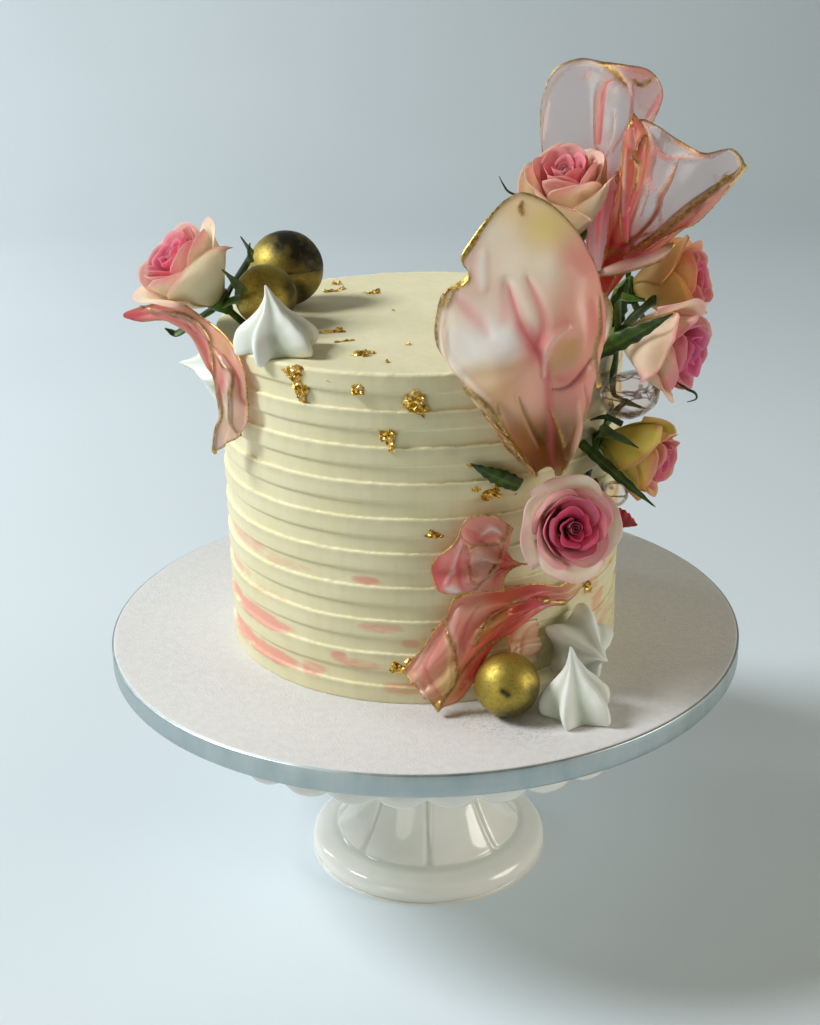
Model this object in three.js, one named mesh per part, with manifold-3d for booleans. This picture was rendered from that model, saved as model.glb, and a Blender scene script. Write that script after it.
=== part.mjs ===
// A celebration cake of one combed tier on its board and porcelain stand, dressed with roses,
// gelatine sails, gold chocolate balls, sugar bubbles and meringue kisses.
// Millimetres, +Z up. The origin is the middle of the stand's foot, on the table, and the
// decorated front faces -Y.
import * as THREE from "three";
import { mergeVertices } from "three/addons/utils/BufferGeometryUtils.js";
import Module from "manifold-3d";

const wasm = await Module();
wasm.setup();

// ---------------------------------------------------------------- driving dimensions

const STAND_HEIGHT = 118;
const FOOT_RADIUS = 60;
const PLATE_RADIUS = 127.5;
const SKIRT_DEPTH = 21;
const SCALLOPS = 36;
const SCALLOP_RISE = 2.5;
const PANELS = 8;

const BOARD_RADIUS = 152.5;
const BOARD_THICKNESS = 11;
const BOARD_TOP = STAND_HEIGHT + BOARD_THICKNESS;

const CAKE_RADIUS = 93;
const BAND_PITCH = 15.8;
const BAND_WIDTH = 8.2;
const BAND_DEPTH = 1.3;
const BANDS = 10;
const CAKE_HEIGHT = BAND_PITCH * (BANDS - 1) + BAND_WIDTH;
const CAKE_TOP = BOARD_TOP + CAKE_HEIGHT;
const TIER_SIDES = 26;

const GAP = 0.3; // between pieces that only touch
const UP = new THREE.Vector3(0, 0, 1);

// A place given by its height above the board.
const place = (x, y, height) => new THREE.Vector3(x, y, BOARD_TOP + height);

const COLOURS = {
  porcelain: [0xf2f1ec, 0.15],
  board: [0xe9e6e4, 0.6],
  icing: [0xeee7c6, 0.6],
  petal: [0xecb9b4, 0.5],
  sepal: [0x2f4a22, 0.5],
  sail: [0xe9a9a2, 0.2],
  gold: [0xa98a35, 0.35, 0.9],
  bubble: [0xd8c8b8, 0.1],
  meringue: [0xf4f4f0, 0.6],
};

const MATERIALS = Object.fromEntries(
  Object.entries(COLOURS).map(([name, [color, roughness, metalness = 0]]) => [
    name,
    new THREE.MeshStandardMaterial({ name, color, roughness, metalness }),
  ]),
);

// ---------------------------------------------------------------- numbers and curves

const clamp = (x, low = 0, high = 1) => Math.min(Math.max(x, low), high);

function smooth(low, high, x) {
  const t = clamp((x - low) / (high - low));
  return t * t * (3 - 2 * t);
}

// The rows of a list as one smooth line: its value at t from 0 to 1.
function along(rows, t) {
  const last = rows.length - 1;
  const x = clamp(t) * last;
  const i = Math.min(Math.floor(x), last - 1);
  const f = x - i;
  const row = (k) => rows[clamp(k, 0, last)];
  return row(i).map((b, c) => {
    const [a, p, q] = [row(i - 1)[c], row(i + 1)[c], row(i + 2)[c]];
    return b + 0.5 * f * (p - a + f * (2 * a - 5 * b + 4 * p - q + f * (3 * (b - p) + q - a)));
  });
}

// ---------------------------------------------------------------- solids

const vertexList = (points) => points.flatMap((p) => [p.x, p.y, p.z]);

function geometryOf(points, faces) {
  return new THREE.BufferGeometry()
    .setAttribute("position", new THREE.Float32BufferAttribute(vertexList(points), 3))
    .setIndex(faces.flat());
}

function solidOf(geometry) {
  const bare = geometry.clone();
  for (const name of ["normal", "uv"]) bare.deleteAttribute(name);
  const merged = mergeVertices(bare, 1e-3);
  return new wasm.Manifold(
    new wasm.Mesh({
      numProp: 3,
      vertProperties: merged.attributes.position.array,
      triVerts: new Uint32Array(merged.index.array),
    }),
  );
}

function geometryFrom(solid) {
  const { vertProperties, triVerts } = solid.getMesh();
  const geometry = new THREE.BufferGeometry()
    .setAttribute("position", new THREE.BufferAttribute(vertProperties, 3))
    .setIndex(new THREE.BufferAttribute(triVerts, 1));
  geometry.computeVertexNormals();
  return geometry;
}

// Several closed geometries as one.
const fuse = (geometries) => geometryFrom(geometries.map(solidOf).reduce((all, one) => all.add(one)));

// A solid with a margin of one gap all round.
function grown(solid) {
  const { min, max } = solid.boundingBox();
  const middle = min.map((low, i) => (low + max[i]) / 2);
  const scale = min.map((low, i) => 1 + (2 * GAP) / (max[i] - low));
  return solid
    .translate(middle.map((m) => -m))
    .scale(scale)
    .translate(middle);
}

// A round or lobed body: rings of [radius, z] from its lower pole to its upper one. vary can give
// each point of a ring a radius and a z of its own, by its turn and the ring's place from 0 to 1.
function turned(profile, steps, vary = (radius, z) => [radius, z]) {
  const rings = profile.slice(1, -1);
  const points = [new THREE.Vector3(0, 0, profile[0][1])];
  rings.forEach(([radius, z], k) => {
    for (let i = 0; i < steps; i++) {
      const turn = (2 * Math.PI * i) / steps;
      const [r, height] = vary(radius, z, turn, k / Math.max(1, rings.length - 1));
      points.push(new THREE.Vector3(r * Math.cos(turn), r * Math.sin(turn), height));
    }
  });
  points.push(new THREE.Vector3(0, 0, profile.at(-1)[1]));
  const top = points.length - 1;
  const faces = [];
  for (let i = 0; i < steps; i++) {
    const j = (i + 1) % steps;
    const first = 1 + (rings.length - 1) * steps;
    faces.push([0, 1 + j, 1 + i], [top, first + i, first + j]);
    for (let k = 1; k < first; k += steps) {
      faces.push([k + i, k + j, k + steps + j], [k + i, k + steps + j, k + steps + i]);
    }
  }
  return geometryOf(points, faces);
}

// A thin sheet with both faces split into triangles alike. surface(u, v) gives its middle for
// u and v from 0 to 1.
function sheet(surface, thickness, columns, rows) {
  const step = 1e-3;
  const sides = [[], []];
  for (let r = 0; r <= rows; r++) {
    for (let c = 0; c <= columns; c++) {
      const [u, v] = [c / columns, r / rows];
      const across = surface(Math.min(u + step, 1), v).sub(surface(Math.max(u - step, 0), v));
      const down = surface(u, Math.min(v + step, 1)).sub(surface(u, Math.max(v - step, 0)));
      const offset = across.cross(down).setLength(thickness / 2);
      sides[0].push(surface(u, v).add(offset));
      sides[1].push(surface(u, v).sub(offset));
    }
  }
  const wide = columns + 1;
  const back = sides[0].length;
  const faces = [];
  for (let r = 0; r < rows; r++) {
    for (let c = 0; c < columns; c++) {
      const [a, b, d, e] = [r * wide + c, r * wide + c + 1, (r + 1) * wide + c, (r + 1) * wide + c + 1];
      faces.push([a, b, e], [a, e, d], [back + a, back + e, back + b], [back + a, back + d, back + e]);
    }
  }
  const rim = [];
  for (let c = 0; c < columns; c++) rim.push(c);
  for (let r = 0; r < rows; r++) rim.push(r * wide + columns);
  for (let c = columns; c > 0; c--) rim.push(rows * wide + c);
  for (let r = rows; r > 0; r--) rim.push(r * wide);
  rim.forEach((a, k) => {
    const b = rim[(k + 1) % rim.length];
    faces.push([a, back + a, back + b], [a, back + b, b]);
  });
  return geometryOf([...sides[0], ...sides[1]], faces);
}

// A round bar with closed ends through some points.
function bar(points, radius, steps) {
  const section = new THREE.Shape(new THREE.Path().absarc(0, 0, radius, 0, 2 * Math.PI).getPoints(2));
  return new THREE.ExtrudeGeometry(section, {
    steps,
    extrudePath: new THREE.CatmullRomCurve3(points),
  });
}

// ---------------------------------------------------------------- the group

// The pieces that each piece is cut back from.
const CLEAR = {
  meringue_side: ["cake"],
  meringue_back: ["cake"],
  rose_left_calyx: ["cake", "rose_left"],
  rose_top_calyx: ["cake", "rose_top"],
  rose_upper_calyx: ["cake", "rose_upper"],
  rose_middle: ["bubble_large"],
  rose_middle_calyx: ["cake", "rose_middle", "rose_upper", "bubble_large"],
  rose_lower_calyx: ["cake", "rose_lower", "bubble_large"],
  rose_front_calyx: ["cake", "rose_front"],
  sail_front: ["rose_front"],
  sail_top: ["rose_top"],
  sail_right: ["rose_top"],
  sail_low: ["gold_ball_base"],
  sail_corner: ["gold_ball_base"],
  leaf_upper: ["cake", "rose_upper_calyx", "rose_middle_calyx"],
  leaf_middle: ["cake", "rose_middle", "rose_middle_calyx"],
  leaf_lower: ["cake", "rose_lower_calyx"],
  petal_curl: ["rose_front"],
};

const cakeOnStand = new THREE.Group();
const placed = {};

// Adds a piece, cut back where it would run into the pieces it has to keep clear of.
function add(name, geometry, material, where = {}) {
  const { at = new THREE.Vector3(), turn = new THREE.Quaternion(), clear = [] } = where;
  const frame = new THREE.Matrix4().compose(at, turn, new THREE.Vector3(1, 1, 1));
  let solid = solidOf(geometry).transform(frame.elements);
  for (const other of clear) solid = solid.subtract(grown(placed[other]));
  if (clear.length > 0) {
    solid = solid.decompose().reduce((most, one) => (one.volume() > most.volume() ? one : most));
  }
  placed[name] = solid;
  const mesh = new THREE.Mesh(geometryFrom(solid.transform(frame.invert().elements)), MATERIALS[material]);
  mesh.name = name;
  mesh.position.copy(at);
  mesh.quaternion.copy(turn);
  cakeOnStand.add(mesh);
}

// ---------------------------------------------------------------- stand and board

// The porcelain stand: a ringed foot, a bell of eight panels, and a plate whose skirt ends in scallops.
function standGeometry() {
  const steps = 3 * PANELS;
  const plate = STAND_HEIGHT - 7;
  const bell = [
    [0, 0],
    [FOOT_RADIUS - 2, 0],
    [FOOT_RADIUS, 3],
    [FOOT_RADIUS - 1, 7.5],
    [FOOT_RADIUS - 5, 10],
    [50.5, 11.4],
    [42.5, 18.5],
    [34, 33],
    [28, 55],
    [29, 78],
    [38, 97],
    [52, plate],
    [0, plate + 2],
  ];
  const groove = (turn) => Math.abs(Math.cos((PANELS * turn) / 2)) ** 6;
  const depth = (t) => 0.035 * smooth(0.4, 0.5, t) * (1 - smooth(0.7, 0.9, t));
  const panelled = (radius, z, turn, t) => [radius * (1 - depth(t) * groove(turn)), z];
  return fuse([turned(bell, steps, panelled), plateGeometry(plate)]);
}

function plateGeometry(underside) {
  const inner = PLATE_RADIUS - 5;
  const hem = STAND_HEIGHT - SKIRT_DEPTH;
  const profile = [
    [0, underside],
    [inner - 1, underside],
    [inner + 0.5, hem],
    [PLATE_RADIUS, hem],
    [PLATE_RADIUS - 2, STAND_HEIGHT],
    [0, STAND_HEIGHT],
  ];
  const rise = (turn) => SCALLOP_RISE * (1 - Math.abs(Math.sin((SCALLOPS * turn) / 2)));
  return turned(profile, 2 * SCALLOPS, (radius, z, turn) => [radius, z === hem ? z + rise(turn) : z]);
}

const boardGeometry = () =>
  turned(
    [
      [0, STAND_HEIGHT],
      [BOARD_RADIUS, STAND_HEIGHT],
      [BOARD_RADIUS, BOARD_TOP - 0.8],
      [BOARD_RADIUS - 0.8, BOARD_TOP],
      [0, BOARD_TOP],
    ],
    48,
  );

// ---------------------------------------------------------------- the tier

// Raised bands left by the comb, from the board up. The top band ends in a soft edge.
function tierGeometry() {
  const groove = CAKE_RADIUS - BAND_DEPTH;
  const profile = [[0, BOARD_TOP]];
  for (let k = 0; k < BANDS; k++) {
    const low = BOARD_TOP + k * BAND_PITCH;
    const high = low + BAND_WIDTH;
    const last = k === BANDS - 1;
    profile.push([CAKE_RADIUS, low], [CAKE_RADIUS, last ? high - 1 : high - 0.2]);
    if (!last) profile.push([groove, high], [groove, low + BAND_PITCH - 0.4]);
  }
  profile.push([CAKE_RADIUS - 1.2, CAKE_TOP], [0, CAKE_TOP]);
  return turned(profile, TIER_SIDES);
}

// Crumpled gold leaf: [turn from the front in degrees, height above the board, width, length]
// on the side, and [x, y, width, length] on the top.
const SIDE_LEAF = [
  [-34, 145, 10, 13],
  [-16, 143, 5, 5],
  [-2, 138, 9, 9],
  [-8, 122, 6, 8],
  [17, 96, 10, 7],
  [3, 79, 6, 5],
  [7, 68, 8, 9],
  [4, 35, 7, 4],
  [-7, 18, 11, 6],
];
const TOP_LEAF = [
  [-22, -57, 10, 6],
  [-41, -24, 9, 5],
  [-24, 46, 8, 7],
];

// One leaf of gold, thin in the middle of an uneven outline, that stands out along +Z.
function leafGeometry(width, length, index) {
  const torn = (turn) => 1 + 0.22 * Math.sin(3 * turn + 2.3 * index) + 0.14 * Math.sin(5 * turn + index);
  const profile = [[0, -2.6], [0.5, 0.3], [0, 0.9]];
  return turned(profile, 7, (radius, z, turn) => [radius * torn(turn), z]).scale(width, length, 1);
}

function cakeGeometry() {
  const side = SIDE_LEAF.map(([degrees, height, width, length], i) => {
    const turn = THREE.MathUtils.degToRad(degrees);
    const reach = height > CAKE_HEIGHT - 2 ? CAKE_RADIUS - 1 : CAKE_RADIUS;
    const at = place(reach * Math.sin(turn), -reach * Math.cos(turn), height);
    const flake = leafGeometry(width, length, i).rotateX(Math.PI / 2).rotateZ(turn);
    return flake.translate(at.x, at.y, at.z);
  });
  const top = TOP_LEAF.map(([x, y, width, length], i) => {
    const at = place(x, y, CAKE_HEIGHT);
    return leafGeometry(width, length, i + 3).rotateZ(i).translate(at.x, at.y, at.z);
  });
  return fuse([tierGeometry(), ...side, ...top]);
}

// ---------------------------------------------------------------- meringues and balls

// A piped kiss: lobes round a drawn-out tip that leans over, from its flat base at z 0.
function kissGeometry({ radius, height, lean }) {
  const lobes = 5;
  const shape = [
    [0, 0],
    [0.84, 0],
    [1, 0.15],
    [0.88, 0.34],
    [0.52, 0.52],
    [0.22, 0.72],
    [0.07, 0.92],
    [0, 1],
  ];
  const groove = (turn, t) => (1 - 0.5 * t) * Math.abs(Math.cos((lobes * turn) / 2 + 0.9 * t)) ** 0.8;
  const kiss = turned(shape, 4 * lobes, (r, z, turn, t) => [r * (1.06 - 0.32 * groove(turn, t)), z]);
  kiss.scale(radius, radius, height);
  const points = kiss.attributes.position;
  for (let i = 0; i < points.count; i++) {
    const bend = (points.getZ(i) / height) ** 2;
    points.setXYZ(i, points.getX(i) + lean[0] * bend, points.getY(i) + lean[1] * bend, points.getZ(i));
  }
  return kiss;
}

const KISSES = {
  meringue_top: {
    at: place(-60, -54, CAKE_HEIGHT + GAP),
    axis: [0, 0, 1],
    radius: 18.5,
    height: 29,
    lean: [-4.5, -1],
  },
  meringue_side: {
    at: place(-90.1, 30.5, 118),
    axis: [-0.945, 0.32, 0.05],
    radius: 17,
    height: 30,
    lean: [0, 0],
  },
  meringue_back: {
    at: place(66.5, -71, 19),
    axis: [0.42, -0.9, 0.1],
    radius: 17,
    height: 29,
    lean: [0, 0],
  },
  meringue_front: {
    at: place(65.5, -104.5, GAP),
    axis: [0, 0, 1],
    radius: 16,
    height: 33.5,
    lean: [-4, -1.5],
  },
};

const BALLS = {
  gold_ball_large: { at: place(-62.5, 26, CAKE_HEIGHT), radius: 17.6 },
  gold_ball_small: { at: place(-69, -12, CAKE_HEIGHT), radius: 13.9 },
  gold_ball_base: { at: place(35, -102.6, 0), radius: 14 },
};

// Blown sugar bubbles stuck on the side: turn from the front and height, then radius, length
// and tilt.
const BUBBLES = {
  bubble_large: { turn: 58, height: 129, radius: 10.4, length: 26, tilt: 14 },
  bubble_small: { turn: 60, height: 81, radius: 6, length: 12, tilt: 0 },
};

// ---------------------------------------------------------------- roses

const PETAL = 1.2; // a petal's thickness, as fused here

// One petal of a bloom that opens along +Z: u runs across it, v from its foot to its lip. Its
// tuck puts one edge under the next petal.
function petal({ turn, spread, height, radius, foot, flare, droop, tuck }) {
  return (u, v) => {
    const side = 2 * u - 1;
    const wide = spread * (0.4 + 0.6 * Math.sin(Math.PI * (0.1 + 0.55 * v)));
    const lip = smooth(0.6, 1, v);
    const belly = foot + (radius - foot) * Math.sin((Math.PI / 2) * Math.min(1, 1.3 * v));
    const r = belly + flare * lip * (0.6 + 0.6 * side ** 2) + tuck * side * smooth(0, 0.4, v);
    const z = height * v * (1 - 0.16 * side ** 2 * v) - droop * lip ** 2;
    return new THREE.Vector3(r, 0, z).applyAxisAngle(UP, turn + wide * side);
  };
}

// A bloom: a furled heart whose petals show as ridges, and a round of petals open outside it.
function bloomGeometry({ radius, height, open }) {
  const heart = [
    [0, 0],
    [0.3, 0],
    [0.62, 0.3],
    [0.58, 0.96 - 0.06 * open],
    [0.46, 0.84],
    [0.36, 0.98],
    [0.27, 0.82],
    [0.17, 0.95],
    [0, 0.76],
  ];
  const furl = (r, z, turn, t) => [r * (1 + 0.09 * Math.cos(3 * turn - 6 * t)), z];
  const count = 5;
  const petals = Array.from({ length: count }, (_, i) => {
    const shape = petal({
      turn: 2 * Math.PI * (i / count),
      spread: 0.76,
      height: (0.98 - 0.14 * open + 0.03 * Math.sin(2 * i)) * height,
      radius: (0.8 + 0.012 * (i % 3)) * radius,
      foot: 0.24 * radius,
      flare: 0.14 * (0.5 + open) * radius,
      droop: 0.08 * (0.5 + open) * height,
      tuck: 0.09 * radius,
    });
    return sheet((u, v) => shape(u, 0.22 + 0.78 * v), PETAL, 3, 3);
  });
  return fuse([turned(heart, 9, furl).scale(radius, radius, height), ...petals]);
}

// What is green: the hip below the bloom, its sepals, and a cut stem that runs to the cake.
// A sepal is [turn in degrees, rise at its tip, reach beyond the bloom].
function calyxGeometry({ radius, sepals, stem }) {
  const hip = turned([[0, -9], [2, -9], [4.3, -4], [0.28 * radius, -GAP], [0, -GAP]], 6);
  const blades = sepals.map(([degrees, rise, reach]) => {
    const blade = (u, v) => {
      const half = 3.2 * Math.sin(Math.PI * (0.16 + 0.8 * v)) * (1 - 0.5 * v);
      const across = (2 * u - 1) * half;
      const out = 2.5 + 1.08 * radius * smooth(0, 0.55, v) + reach * v;
      const up = -3.4 + rise * v ** 1.6 + 0.6 * Math.sin(9 * v) - 0.1 * across ** 2;
      return new THREE.Vector3(out, across, up).applyAxisAngle(UP, THREE.MathUtils.degToRad(degrees));
    };
    return sheet(blade, 0.9, 2, 2);
  });
  return fuse([hip, ...blades, bar([new THREE.Vector3(0, 0, -8), ...stem], 1.6, 3)]);
}

// Where each rose sits, the way it opens, and where its stem meets the cake.
const ROSES = {
  rose_left: {
    at: place(-91, -13, 164),
    axis: [-0.62, -0.26, 0.75],
    radius: 22.5,
    height: 34,
    open: 0.45,
    spin: 20,
    sepals: [[-70, 20, 2], [20, 12, 2], [150, 6, 3]],
    stem: place(-79, -9, CAKE_HEIGHT),
  },
  rose_top: {
    at: place(66.5, -36.5, 196.5),
    axis: [-0.17, -0.36, 0.9],
    radius: 19.5,
    height: 35,
    open: 0.4,
    spin: 50,
    sepals: [[40, 6, 2], [145, 8, 9], [225, 2, 2]],
    stem: place(57, -34, CAKE_HEIGHT),
  },
  rose_upper: {
    at: place(96, -17, 166.4),
    axis: [0.93, -0.3, 0.2],
    radius: 18.5,
    height: 33,
    open: 0.3,
    spin: 0,
    sepals: [[10, 20, 2], [130, 16, 2], [250, 12, 2]],
    stem: place(84, -12, CAKE_HEIGHT),
  },
  rose_middle: {
    at: place(88.3, -47.4, 152),
    axis: [0.84, -0.5, -0.12],
    radius: 20.5,
    height: 35,
    open: 0.4,
    spin: 30,
    sepals: [[60, 22, 2], [150, 15, 2], [290, 14, 2]],
    stem: place(76, -44, CAKE_HEIGHT),
  },
  rose_lower: {
    at: place(80, -51.5, 106.6),
    axis: [0.85, -0.45, -0.25],
    radius: 17.5,
    height: 31.5,
    open: 0.3,
    spin: 10,
    sepals: [[-160, 24, 2], [-60, 20, 3], [90, 12, 2]],
    stem: place(73, -46, 108),
  },
  rose_front: {
    at: place(58.5, -82, 79),
    axis: [0.24, -0.92, 0.3],
    radius: 19.5,
    height: 23,
    open: 1,
    spin: 0,
    sepals: [[60, 5, 2], [150, 5, 1], [330, 6, 1]],
    stem: place(55.5, -70.5, 75.5),
  },
};

// ---------------------------------------------------------------- sails

const SAIL = 1.2; // a sail's thickness, as a solid

// A gelatine sail gathered at its foot: rays leave there, bend at its neck, if it has one, and
// end on its rim. A point of the rim is [x, y, height].
function fan({ foot, neck, width, rim, folds, ripple, bow = 0 }) {
  return (u, v) => {
    const t = 0.04 + 0.96 * v;
    const tip = place(...along(rim, u));
    const start = foot.clone().add(new THREE.Vector3((2 * u - 1) * width, 0, 0));
    const fold = ripple * Math.sin(2 * Math.PI * folds * u) * Math.sin(2.7 * t) * smooth(0.1, 0.6, t);
    return start
      .multiplyScalar((1 - t) ** 2)
      .addScaledVector(neck ?? foot.clone().lerp(tip, 0.5), 2 * t * (1 - t))
      .addScaledVector(tip, t ** 2)
      .add(new THREE.Vector3(0, -fold - bow * Math.sin(Math.PI * t), 0));
  };
}

// A draped sail between two long edges: each row is [x, y, height] on one and on the other.
// The middle swells away from the cake by its cup, and folds run along it.
function drape({ rows, folds, ripple, cup }) {
  return (u, v) => {
    const [ax, ay, az, bx, by, bz] = along(rows, v);
    const a = place(ax, ay, az);
    const b = place(bx, by, bz);
    const side = 2 * u - 1;
    const lift = cup * (1 - side ** 2) + ripple * Math.sin(Math.PI * folds * side) * smooth(0, 0.3, v);
    const out = a.clone().add(b).setZ(0).normalize();
    return a.lerp(b, u).addScaledVector(out, lift);
  };
}

const FANS = {
  sail_front: {
    foot: place(52.5, -79, 101),
    width: 4,
    rim: [
      [42, -87, 116],
      [30, -92, 131],
      [16, -95, 149],
      [7, -93, 165],
      [8, -92, 180],
      [14, -92, 194],
      [20, -90, 203],
      [28, -86, 212.5],
      [36, -81, 219],
      [44, -78, 220],
      [56, -78, 213],
      [68, -80, 197],
      [74, -81, 180],
      [75.5, -81, 165],
      [72, -82, 145],
      [68, -81, 128],
      [63, -79, 115],
    ],
    folds: 2,
    ripple: 1.4,
    bow: 9,
    grid: [14, 5],
  },
  sail_top: {
    foot: place(76, -20, CAKE_HEIGHT + 1),
    neck: place(80, -22, 208),
    width: 4,
    rim: [
      [60, -22, 214],
      [54, -26, 225],
      [52, -28, 238],
      [53, -28, 251],
      [58, -27, 262],
      [68, -25, 266],
      [79, -20, 264],
      [89, -14, 262],
      [100, -10, 259],
      [106, -8, 250],
      [103, -9, 238],
    ],
    folds: 2.5,
    ripple: 2.2,
    grid: [14, 5],
  },
  sail_right: {
    foot: place(73.4, -42.2, CAKE_HEIGHT + 1),
    neck: place(80, -48, 186),
    width: 3,
    rim: [
      [79, -52, 201],
      [82, -50, 216],
      [84, -47, 231],
      [87, -45, 242],
      [93, -42, 243],
      [101, -36, 239],
      [112, -24, 231.5],
      [124, -17, 225],
      [135, -15, 226],
      [140, -24, 221],
      [134, -32, 216],
      [126, -40, 208],
      [117, -46, 201],
      [106, -50, 197],
      [94, -52, 190],
    ],
    folds: 3,
    ripple: 1.8,
    grid: [16, 5],
  },
  sail_middle: {
    foot: place(46, -83, 62),
    neck: place(32, -96, 68),
    width: 2,
    rim: [
      [38, -93, 83],
      [28, -97, 91],
      [18, -98, 89],
      [13, -100, 80],
      [5, -99, 72],
      [3, -98, 64],
      [7, -99, 57],
      [19, -99, 56],
      [34, -96, 55],
    ],
    folds: 3,
    ripple: 1.8,
    grid: [12, 4],
  },
};

const DRAPES = {
  sail_left: {
    rows: [
      [-128, -36, 161.6, -127.5, -34, 163.6],
      [-122, -36, 159.6, -119, -33, 166],
      [-110.7, -38, 160, -105, -33, 168],
      [-99.7, -42, 154, -93, -38, 162],
      [-94.6, -46, 145, -81, -48, 155],
      [-90.3, -50, 137, -74, -59, 145],
      [-88, -52, 126, -73, -61, 136],
      [-90, -53, 115, -73, -62, 123],
      [-91.5, -54, 104, -77.5, -60, 115],
    ],
    folds: 2.5,
    ripple: 1.2,
    cup: 1.5,
    grid: [5, 10],
  },
  sail_low: {
    rows: [
      [70, -64, 50, 72, -61.5, 44],
      [59.3, -77, 49, 64, -73, 40.4],
      [47.7, -85.5, 54, 52.2, -83, 41],
      [36.7, -91, 55, 41, -89.5, 36],
      [23.7, -95, 55, 32.4, -91.5, 30.6],
      [13, -97, 53.4, 26.3, -93.5, 22.5],
      [8.3, -98, 44.4, 21, -97, 12],
      [0, -98.5, 32, 13.9, -101, 5.5],
      [-10, -99, 19.5, 5, -103, 3.4],
    ],
    folds: 3,
    ripple: 1.4,
    cup: 2.5,
    grid: [8, 10],
  },
  sail_corner: {
    rows: [
      [36, -88.5, 30, 36, -90, 17],
      [42, -86, 35, 43, -86.5, 14],
      [49, -82, 35.5, 50, -82, 15],
    ],
    folds: 1,
    ripple: 0.4,
    cup: 0.6,
    grid: [4, 4],
  },
};

// ---------------------------------------------------------------- single leaves

// A leaf from its foot to its tip that bends a little on the way.
function leafBlade({ foot, tip, half }) {
  const run = tip.clone().sub(foot);
  const side = run.clone().cross(new THREE.Vector3(0, 1, 0)).normalize();
  const surface = (u, v) => {
    const across = (2 * u - 1) * half * Math.sin(Math.PI * (0.08 + 0.88 * v)) * (1 - 0.3 * v);
    const bend = -2 * Math.sin(Math.PI * v) + 0.12 * across ** 2;
    const middle = foot.clone().addScaledVector(run, v);
    return middle.addScaledVector(side, across).add(new THREE.Vector3(0, bend, 0));
  };
  return sheet(surface, 0.9, 2, 5);
}

const LEAVES = {
  leaf_front: { foot: place(41, -86.5, 99), tip: place(20, -93, 112), half: 4, material: "sepal" },
  leaf_upper: { foot: place(81, -38, 149), tip: place(89, -44, 177), half: 5.5, material: "sepal" },
  leaf_middle: { foot: place(73, -57, 147), tip: place(103.5, -76, 169.5), half: 4.5, material: "sepal" },
  leaf_lower: { foot: place(68.5, -61.5, 109.5), tip: place(98.5, -84, 87.8), half: 2.6, material: "sepal" },
  petal_curl: { foot: place(77, -78, 84), tip: place(92.4, -75, 76), half: 4.5, material: "petal" },
};

// ---------------------------------------------------------------- assembly

add("cake_stand", standGeometry(), "porcelain");
add("cake_board", boardGeometry(), "board");
add("cake", cakeGeometry(), "icing");
placed.cake = placed.cake.hull(); // what is stuck on it ends outside its grooves

for (const [name, { at, radius }] of Object.entries(BALLS)) {
  const centre = at.clone().addScaledVector(UP, radius + GAP);
  add(name, new THREE.IcosahedronGeometry(radius, 2), "gold", { at: centre });
}

for (const [name, { turn, height, radius, length, tilt }] of Object.entries(BUBBLES)) {
  const angle = THREE.MathUtils.degToRad(turn);
  const reach = CAKE_RADIUS + length / 2;
  const centre = place(reach * Math.sin(angle), -reach * Math.cos(angle), height);
  const bubble = new THREE.IcosahedronGeometry(radius, 2).scale(length / (2 * radius), 1, 1);
  const lean = new THREE.Quaternion().setFromEuler(new THREE.Euler(0, -THREE.MathUtils.degToRad(tilt), 0));
  add(name, bubble, "bubble", { at: centre, turn: lean, clear: ["cake"] });
}

for (const [name, kiss] of Object.entries(KISSES)) {
  const turn = new THREE.Quaternion().setFromUnitVectors(UP, new THREE.Vector3(...kiss.axis).normalize());
  add(name, kissGeometry(kiss), "meringue", { at: kiss.at, turn, clear: CLEAR[name] });
}

for (const [name, rose] of Object.entries(ROSES)) {
  const axis = new THREE.Vector3(...rose.axis).normalize();
  const turn = new THREE.Quaternion()
    .setFromUnitVectors(UP, axis)
    .multiply(new THREE.Quaternion().setFromAxisAngle(UP, THREE.MathUtils.degToRad(rose.spin)));
  const foot = rose.stem.clone().sub(rose.at).applyQuaternion(turn.clone().invert());
  const stem = [new THREE.Vector3(0, 0, -8).lerp(foot, 0.5), foot];
  add(name, bloomGeometry(rose), "petal", { at: rose.at, turn, clear: CLEAR[name] });
  const calyx = calyxGeometry({ ...rose, stem });
  add(`${name}_calyx`, calyx, "sepal", { at: rose.at, turn, clear: CLEAR[`${name}_calyx`] });
}

for (const [name, shape] of Object.entries(FANS)) {
  add(name, sheet(fan(shape), SAIL, ...shape.grid), "sail", { clear: CLEAR[name] });
}
for (const [name, shape] of Object.entries(DRAPES)) {
  add(name, sheet(drape(shape), SAIL, ...shape.grid), "sail", { clear: CLEAR[name] });
}
for (const [name, shape] of Object.entries(LEAVES)) {
  add(name, leafBlade(shape), shape.material, { clear: CLEAR[name] });
}

export default cakeOnStand;
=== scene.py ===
"""A combed celebration cake on its board and porcelain stand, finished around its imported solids.

Lengths are millimetres until a mesh is made. The front faces -Y and the stand's foot is at z 0.
"""
import math

import bpy
import numpy as np
from mathutils import Matrix, Quaternion, Vector, noise


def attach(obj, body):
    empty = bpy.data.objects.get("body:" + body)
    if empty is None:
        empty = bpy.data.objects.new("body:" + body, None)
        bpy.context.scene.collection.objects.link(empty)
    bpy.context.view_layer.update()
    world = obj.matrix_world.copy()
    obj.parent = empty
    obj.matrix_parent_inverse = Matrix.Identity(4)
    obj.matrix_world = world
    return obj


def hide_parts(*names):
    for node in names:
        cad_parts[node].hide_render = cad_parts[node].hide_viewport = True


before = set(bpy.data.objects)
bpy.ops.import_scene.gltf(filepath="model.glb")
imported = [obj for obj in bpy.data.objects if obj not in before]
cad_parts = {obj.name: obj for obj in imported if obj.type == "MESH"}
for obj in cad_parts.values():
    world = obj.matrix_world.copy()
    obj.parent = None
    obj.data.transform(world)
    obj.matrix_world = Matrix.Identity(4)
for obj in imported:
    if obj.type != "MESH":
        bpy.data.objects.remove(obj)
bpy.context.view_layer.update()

MM = 0.001
UP = Vector((0, 0, 1))

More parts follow.
